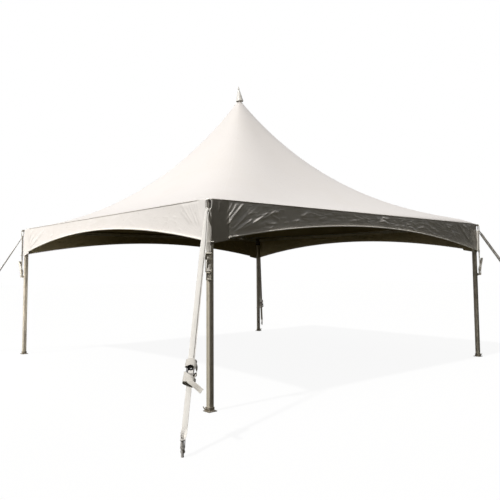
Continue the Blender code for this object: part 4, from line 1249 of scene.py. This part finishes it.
ZINC_STEEL = metal_material("zinc_steel", STEEL_COLOUR, 0.36, 0.65, amount=0.35)
at_spool = Matrix.Translation(leg_spool)
bm = new_shape()
ratchet_body(bm, at_spool)
face = LEG_SIZE / 2 + 0.0003
back, tip = face + CLEAT_GAUGE, face + CLEAT_GAUGE - CLEAT_ARM
angle = [(face, face), (face, tip), (back, tip), (back, back), (tip, back), (tip, face)]
at_bolt = moved(0.0, 0.0, LEG_SPOOL_HEIGHT - SPOOL_TO_BOLT)
cut_plate(bm, angle, 0.05, [], at_bolt @ SQUARE)
lug_start = (face + 0.0025) * math.sqrt(2)
lug = [(lug_start, -0.020), (0.078, -0.016), (0.090, -0.010), (0.0965, 0.0), (0.090, 0.010), (0.078, 0.016),
       (lug_start, 0.020)]
cut_plate(bm, lug, 0.012, [], at_bolt @ STAND)
for turn, across in ((0, 0.011), (90, -0.011)):
    for z in (-0.014, 0.014):
        seat = SQUARE @ rotated(turn, "Z") @ moved(back, across, z)
        turned(bm, CLEAT_SCREW, 6, at_bolt @ seat @ ALONG_X)
make_at_corners("leg_ratchet", bm, ZINC_STEEL, ["leg_ratchet"], bevel=0.0005)
bm = new_shape()
winding = frames_along(wound_line(0.0096, 0.0128, 2.3, 0.6), Vector((1.0, 0.0, 0.0)))
sweep(bm, web_profile(0.044, WOUND_THICKNESS), [at_spool @ place for place in winding])
make_at_corners("leg_ratchet_winding", bm, GREY_WEB)

# Ratchet levers
# Two pressed cheeks outside the wheels, joined by a plate with a finger hole and a ribbed grip.
# Each turns on its spool's ends.
LEVER_LENGTH = 0.205
LEVER_BORE = 0.010
LEVER_EYE = 0.016
LEVER_TILT = 12                        # degrees
LEVER_RIVET = [(0.0, 0.0), (0.0, 0.0050), (0.0012, 0.0046), (0.0022, 0.0030), (0.0026, 0.0)]
WEB_PLATE = (0.130, 0.205)
GRIP_RIBS = 18


def lever(bm, place):
    """A ratchet's lever, pointing up Z from its spool."""
    old = set(bm.verts)
    arc = [math.radians(180 + 18 * step) for step in range(11)]
    outline = [(LEVER_EYE * math.cos(turn), LEVER_EYE * math.sin(turn)) for turn in arc]
    edge = [(0.0150, 0.030), (0.0125, 0.060), (0.0110, 0.120), (0.0110, LEVER_LENGTH - 0.004),
            (0.0070, LEVER_LENGTH)]
    outline += edge + [(-y, z) for y, z in reversed(edge)]
    cutouts = [round_profile(LEVER_BORE, 24), round_profile(0.0045, 12, (0.0, 0.092))]
    cutouts.append([(y, z + 0.055) for y, z in tube_profile(0.0040, 0.014, 0.0038)])
    for side in (-1, 1):
        middle = moved(side * (LEVER_INSIDE + PLATE_GAUGE / 2), 0.0, 0.0)
        cut_plate(bm, outline, PLATE_GAUGE, cutouts, middle @ STAND)
        for z in (0.145, 0.180):
            turned(bm, LEVER_RIVET, 12, on_side(side, LEVER_OUTSIDE, z))
        low, high = sorted((side * 0.0310, side * LEVER_INSIDE))
        block(bm, (low, -0.0045, 0.0205), (high, 0.0045, 0.046), STILL, 0.0008)
    low, high = WEB_PLATE
    plate = [(x, z + (low + high) / 2) for x, z in tube_profile(LEVER_INSIDE, (high - low) / 2, 0.004)]
    hole = [(x, z + low + 0.026) for x, z in tube_profile(0.017, 0.010, 0.009)]
    cut_plate(bm, plate, 0.0036, [hole], rotated(90, "X"))
    grip = [(-PIN_HALF_LENGTH, 0.0), (-PIN_HALF_LENGTH, 0.0085), (-PIN_HALF_LENGTH + 0.0015, 0.0100)]
    for step in range(GRIP_RIBS):
        x = -0.036 + 0.072 * step / GRIP_RIBS
        grip += [(x, 0.0100), (x + 0.0012, 0.0092), (x + 0.0026, 0.0092), (x + 0.0036, 0.0100)]
    grip += [(PIN_HALF_LENGTH - 0.0015, 0.0100), (PIN_HALF_LENGTH, 0.0085), (PIN_HALF_LENGTH, 0.0)]
    turned(bm, grip, 20, moved(0.0, 0.0, LEVER_LENGTH) @ ALONG_X)
    settle(bm, old, place)


bm = new_shape()
lever(bm, at_spool @ rotated(-LEVER_TILT, "X"))
make_at_corners("leg_ratchet_lever", bm, ZINC_STEEL, ["leg_ratchet_handle"], lever=True,
                bevel=0.0005)

# Guys
# Doubled webbing from each ring down to a ratchet and on to a stake. The ratchet's lever is shut
# along its frame, and the strap's free end is wound round both and tucked in.
STAKE_DISTANCE = 1.60
LOOP_HEIGHT = 0.065
STAKE_RADIUS = 0.0125
GUY_SPOOL_SHARE = 0.70                 # of the way from the ring down to the stake
RUNS_APART = 0.009
BUNCHING = 0.42                        # share of its width that the strap loses in the ring
LEANING_GUY = "front_right"            # the corner whose runs lean, with the next three values
LEAN_DEGREES = 15
LEANING_RUNS_APART = 0.020             # as far as the ring's wire holds them
LEANING_BUNCHING = 0.1
ANCHOR_WIDTH = 0.052
WEB_COLOUR = (0.95, 0.925, 0.885)
GUY_STEEL_COLOUR = (0.20, 0.19, 0.18)
WEB = web_material("webbing", WEB_COLOUR, WEB_SOIL, 0.22)
stake_spot = Vector((0.0, STAKE_DISTANCE, LOOP_HEIGHT))
guy_top = ring_bar + Vector((0.017, 0.0, 0.0))
guy_up = (guy_top - stake_spot).normalized()
guy_side = Vector((1.0, 0.0, 0.0)).cross(guy_up).cross(guy_up).normalized() * -1.0
guy_turn = Matrix((guy_side, guy_up.cross(guy_side), guy_up)).transposed().to_4x4()
guy_frame = Matrix.Translation(guy_top.lerp(stake_spot, GUY_SPOOL_SHARE)) @ guy_turn
upper_length = (guy_top - stake_spot).length * GUY_SPOOL_SHARE
lower_length = (guy_top - stake_spot).length * (1.0 - GUY_SPOOL_SHARE)
for turn, corner in enumerate(CORNERS):
    leans = corner == LEANING_GUY
    apart, bunching = (LEANING_RUNS_APART, LEANING_BUNCHING) if leans else (RUNS_APART, BUNCHING)
    line = loop_line(Vector((0.0, 0.0, upper_length)), Vector(), (RING_WIRE + 0.002, WOUND_RADIUS), apart)
    from_ring = np.array([upper_length - point.z for point in line])
    bunched = 1.0 - bunching * limited((0.45 - from_ring) / 0.35)
    lean = math.radians(LEAN_DEGREES) * leans * limited(from_ring / 0.12) * limited((1.35 - from_ring) / 0.4)
    aims = [Vector((math.cos(angle), math.sin(angle), 0.0)) for angle in lean]
    bm = new_shape()
    web_loop(bm, line, STRAP_WIDTH, aims, list(bunched))
    mark_sewn(bm, upper_length - 0.16, upper_length - 0.03)
    bmesh.ops.transform(bm, matrix=guy_frame, verts=bm.verts)
    make_piece("guy_strap_" + corner, bm, [WEB], replaced=["guy_strap_" + corner],
               matrix=corner_frame(turn))
    bm.free()
bm = new_shape()
ratchet_body(bm, guy_frame)
lever(bm, guy_frame @ rotated(LEVER_TILT - 180, "X"))
GUY_STEEL = metal_material("guy_steel", GUY_STEEL_COLOUR, 0.42, 0.6, soiled=(0.14, 0.08, 0.04), amount=0.4,
                           pits=0.2)
make_at_corners("guy_ratchet", bm, GUY_STEEL, ["guy_ratchet"], bevel=0.0005)
bm = new_shape()
winding = frames_along(wound_line(0.0096, 0.0130, 2.5, 0.6), Vector((1.0, 0.0, 0.0)))
sweep(bm, web_profile(0.046, WOUND_THICKNESS), winding)
TIED_PATH = [                          # the strap's free end, in the guy ratchet's frame
    (0.000, -0.028, -0.004), (0.050, 0.000, -0.004), (0.036, 0.030, -0.004), (0.000, 0.036, 0.000),
    (-0.036, 0.030, -0.008), (-0.052, 0.000, -0.018), (-0.030, -0.028, -0.024), (0.034, -0.030, -0.028),
    (0.056, 0.000, -0.032), (0.042, 0.034, -0.036), (0.000, 0.042, -0.024), (-0.036, 0.038, -0.036),
    (-0.057, 0.016, -0.075), (-0.053, -0.012, -0.118), (-0.010, -0.032, -0.128), (0.046, -0.014, -0.118),
    (0.056, 0.022, -0.132), (0.024, 0.056, -0.162), (-0.018, 0.060, -0.184), (-0.050, 0.040, -0.198),
    (-0.056, 0.000, -0.204), (0.000, -0.030, -0.206), (0.058, 0.000, -0.198), (0.048, 0.056, -0.196),
    (0.000, 0.066, -0.204), (-0.046, 0.056, -0.214), (-0.058, 0.004, -0.220), (-0.020, -0.028, -0.222)]
TAIL_PATH = [
    (0.006, 0.058, -0.198), (-0.016, 0.070, -0.222), (-0.060, 0.066, -0.256), (-0.100, 0.058, -0.286),
    (-0.134, 0.056, -0.314)]


def curve_through(points, steps):
    """A smooth line through points, with its first and last as they are."""
    points = [Vector(point) for point in points]
    line = []
    for index in range(len(points) - 1):
        near = [max(0, min(len(points) - 1, index + shift)) for shift in (-1, 0, 1, 2)]
        before, start, end, after = (points[place] for place in near)
        for step in range(steps):
            t = step / steps
            bend = (end - before) * t + (2 * before - 5 * start + 4 * end - after) * t ** 2
            line.append(start + 0.5 * (bend + (3 * start - before - 3 * end + after) * t ** 3))
    return [*line, points[-1]]


sweep(bm, web_profile(0.046), frames_along(curve_through(TIED_PATH, 6), Vector((0.0, 0.0, 1.0))))
bmesh.ops.transform(bm, matrix=guy_frame, verts=bm.verts)
make_at_corners("guy_ratchet_wrap", bm, GREY_WEB)
bm = new_shape()
tail = curve_through(TAIL_PATH, 6)
curl = [Vector((0.6, 0.35 * math.cos(0.16 * step), -0.8)) for step in range(len(tail))]
sweep(bm, web_profile(0.048), frames_along(tail, curl))
bmesh.ops.transform(bm, matrix=guy_frame, verts=bm.verts)
make_at_corners("guy_ratchet_tail", bm, GREY_WEB)
bm = new_shape()
start = -SPOOL_TO_BOLT
bolt_reach = SPACER_RADIUS + WEB_THICKNESS / 2
hook_reach = STAKE_RADIUS + 0.0022 + WEB_THICKNESS / 2
half_turn = [math.pi * step / 12 for step in range(13)]
runs = [Vector((0.0, -bolt_reach * math.cos(turn), start + bolt_reach * math.sin(turn)))
        for turn in half_turn]
aims = [Vector((1.0, 0.0, 0.0)) for _ in half_turn]
down = np.linspace(0.02, lower_length - SPOOL_TO_BOLT - 0.030, 26)
for side, stations in ((1, down), (-1, down[::-1])):
    if side == -1:
        runs += [Vector((hook_reach * math.cos(turn), 0.0, -lower_length - hook_reach * math.sin(turn)))
                 for turn in half_turn]
        aims += [Vector((0.0, 0.83, 0.56)) for _ in half_turn]
    for s in stations:
        twist = min(1.0, max(0.0, (s - (down[-1] - 0.17)) / 0.16))
        twist = twist * twist * (3.0 - 2.0 * twist)
        swell = math.exp(-(s / 0.022) ** 2)
        y = side * (0.0018 + (bolt_reach - 0.0018) * swell) * (1.0 - twist)
        runs.append(Vector((side * hook_reach * twist, y, start - s)))
        aims.append(Vector((1.0, 0.0, 0.0)).lerp(Vector((0.0, side * 0.83, side * 0.56)), twist))
web_loop(bm, runs, ANCHOR_WIDTH, aims)
mark_sewn(bm, start - 0.16, start - 0.03)
bmesh.ops.transform(bm, matrix=guy_frame, verts=bm.verts)
make_at_corners("anchor_strap", bm, WEB, ["anchor_strap"])

# Stakes
# Forged steel stakes with heads spread by the hammer, driven in upright. They are modelled from
# the ground up.
STAKE_HEIGHT = 0.14
STAKE_HEAD_RADIUS = 0.021
bm = new_shape()
head = [
    (0.0, STAKE_RADIUS + 0.0015), (0.0005, STAKE_HEAD_RADIUS - 0.002), (0.003, STAKE_HEAD_RADIUS - 0.0004),
    (0.008, STAKE_HEAD_RADIUS - 0.001), (0.011, STAKE_HEAD_RADIUS - 0.004), (0.012, 0.010), (0.0115, 0.0)]
stake_outline = [(0.0, 0.0), (0.0, STAKE_RADIUS), (STAKE_HEIGHT - 0.008, STAKE_RADIUS)]
stake_outline += [(STAKE_HEIGHT + over, radius) for over, radius in head]
turned(bm, stake_outline, 32, moved(0.0, STAKE_DISTANCE, 0.0))
for vert in bm.verts:
    if vert.co.z > STAKE_HEIGHT:
        outward = Vector((vert.co.x, vert.co.y - STAKE_DISTANCE, 0.0))
        vert.co += outward * 0.10 * noise.noise(vert.co * 70.0)
STAKE_STEEL = metal_material("stake_steel", (0.60, 0.58, 0.55), 0.45, 0.15, soiled=(0.16, 0.08, 0.04),
                             amount=0.4, pits=0.6)
make_at_corners("stake", bm, STAKE_STEEL, ["stake"], bevel=0.0006)

# Floor, light and backdrop
# A pale floor and backdrop, one lamp from the left at the height of the sun in the picture, and
# three soft ones, two beside the tent and one over it. The ground returns little light, so the
# inside stays dark.
SUN_TOWARDS = Vector((-0.662, -0.004, 0.749))
SUN_COLOUR = (1.0, 0.985, 0.955)
SOFT_LAMP_COLOUR = (1.0, 0.96, 0.92)
SOFT_LAMPS = [                         # place, what it is aimed at, width, height, power and spread
    ((-8.0, 2.0, 2.3), (-3.0, 2.0, 2.2), 5.0, 0.8, 60.0, 120.0),
    ((-5.2, 0.3, 0.6), (-3.05, 3.05, 0.9), 0.6, 0.8, 5.0, 44.0),
    ((1.6, -2.0, 8.0), (0.8, -1.0, 3.0), 2.6, 1.8, 20.0, 130.0),
]
FLOOR_REACH = 60.0
DULL_GROUND = (0.046, 0.042, 0.026, 1.0)   # what lights the tent from below
PALE_FLOOR = (0.07, 0.07, 0.07, 1.0)   # what the camera sees, with its glow
FLOOR_GLOW = 0.93
WHITE = (1.0, 1.0, 1.0, 1.0)
SKY_COLOUR = (1.0, 0.985, 0.95, 1.0)
MIRRORED_COLOUR = (0.95, 0.97, 1.0, 1.0)
SKY_LEVELS = (0.035, 0.28)             # at the horizon, and what is added to it overhead
MIRRORED_LEVELS = (0.04, 0.95)         # the same for what shiny metal mirrors
floor_mesh = bpy.data.meshes.new("floor")
bm = bmesh.new()
bmesh.ops.create_grid(bm, x_segments=1, y_segments=1, size=FLOOR_REACH)
bmesh.ops.translate(bm, vec=(0.0, 0.0, -0.001), verts=bm.verts)
bm.to_mesh(floor_mesh)
bm.free()
floor = bpy.data.objects.new("floor", floor_mesh)
bpy.context.scene.collection.objects.link(floor)
material, tree, shader = new_material("floor")
tree.nodes.remove(shader)
seen = add_node(tree, "LightPath").outputs["Is Camera Ray"]
dull = add_node(tree, "BsdfDiffuse", {"Color": DULL_GROUND}).outputs[0]
pale = add_node(tree, "BsdfDiffuse", {"Color": PALE_FLOOR}).outputs[0]
glow = add_node(tree, "Emission", {"Color": WHITE, "Strength": FLOOR_GLOW}).outputs[0]
shown = add_node(tree, "AddShader", {0: pale, 1: glow}).outputs[0]
ground = add_node(tree, "MixShader", {0: seen, 1: dull, 2: shown}).outputs[0]
tree.links.new(ground, tree.nodes["Material Output"].inputs["Surface"])
floor_mesh.materials.append(material)

sun = bpy.data.lights.new("sun", "SUN")
sun.energy = 3.25
sun.angle = math.radians(3.0)
sun.color = SUN_COLOUR
lamp = bpy.data.objects.new("sun", sun)
lamp.rotation_mode = "QUATERNION"
lamp.rotation_quaternion = SUN_TOWARDS.to_track_quat("Z", "Y")
bpy.context.scene.collection.objects.link(lamp)
for spot, aim, width, height, power, spread in SOFT_LAMPS:
    fill = bpy.data.lights.new("fill", "AREA")
    fill.shape = "RECTANGLE"
    fill.size, fill.size_y = width, height
    fill.energy = power
    fill.spread = math.radians(spread)
    fill.color = SOFT_LAMP_COLOUR
    lamp = bpy.data.objects.new("fill", fill)
    facing = (Vector(spot) - Vector(aim)).to_track_quat("Z", "Y").to_matrix().to_4x4()
    lamp.matrix_world = Matrix.Translation(spot) @ facing
    lamp.visible_camera = False
    bpy.context.scene.collection.objects.link(lamp)

world = bpy.data.worlds.new("world")
world.use_nodes = True
bpy.context.scene.world = world
tree = world.node_tree
seen = add_node(tree, "LightPath").outputs
upward = add_node(tree, "SeparateXYZ", {0: add_node(tree, "TexCoord").outputs["Generated"]}).outputs[2]
zenith = maths(tree, "MULTIPLY_ADD", times(tree, upward, upward), SKY_LEVELS[1], SKY_LEVELS[0])
sky = add_node(tree, "Background", {"Color": SKY_COLOUR, "Strength": zenith}).outputs[0]
overhead = maths(tree, "MULTIPLY_ADD", ease(tree, upward, 0.0, 0.6), MIRRORED_LEVELS[1], MIRRORED_LEVELS[0])
mirrored = add_node(tree, "Background", {"Color": MIRRORED_COLOUR, "Strength": overhead}).outputs[0]
backdrop = add_node(tree, "Background", {"Color": WHITE, "Strength": 1.0}).outputs[0]
lit = add_node(tree, "MixShader", {0: seen["Is Glossy Ray"], 1: sky, 2: mirrored}).outputs[0]
shown = add_node(tree, "MixShader", {0: seen["Is Camera Ray"], 1: lit, 2: backdrop}).outputs[0]
tree.links.new(shown, tree.nodes["World Output"].inputs["Surface"])

bpy.context.scene.view_settings.view_transform = "Standard"
bpy.context.scene.view_settings.look = "None"
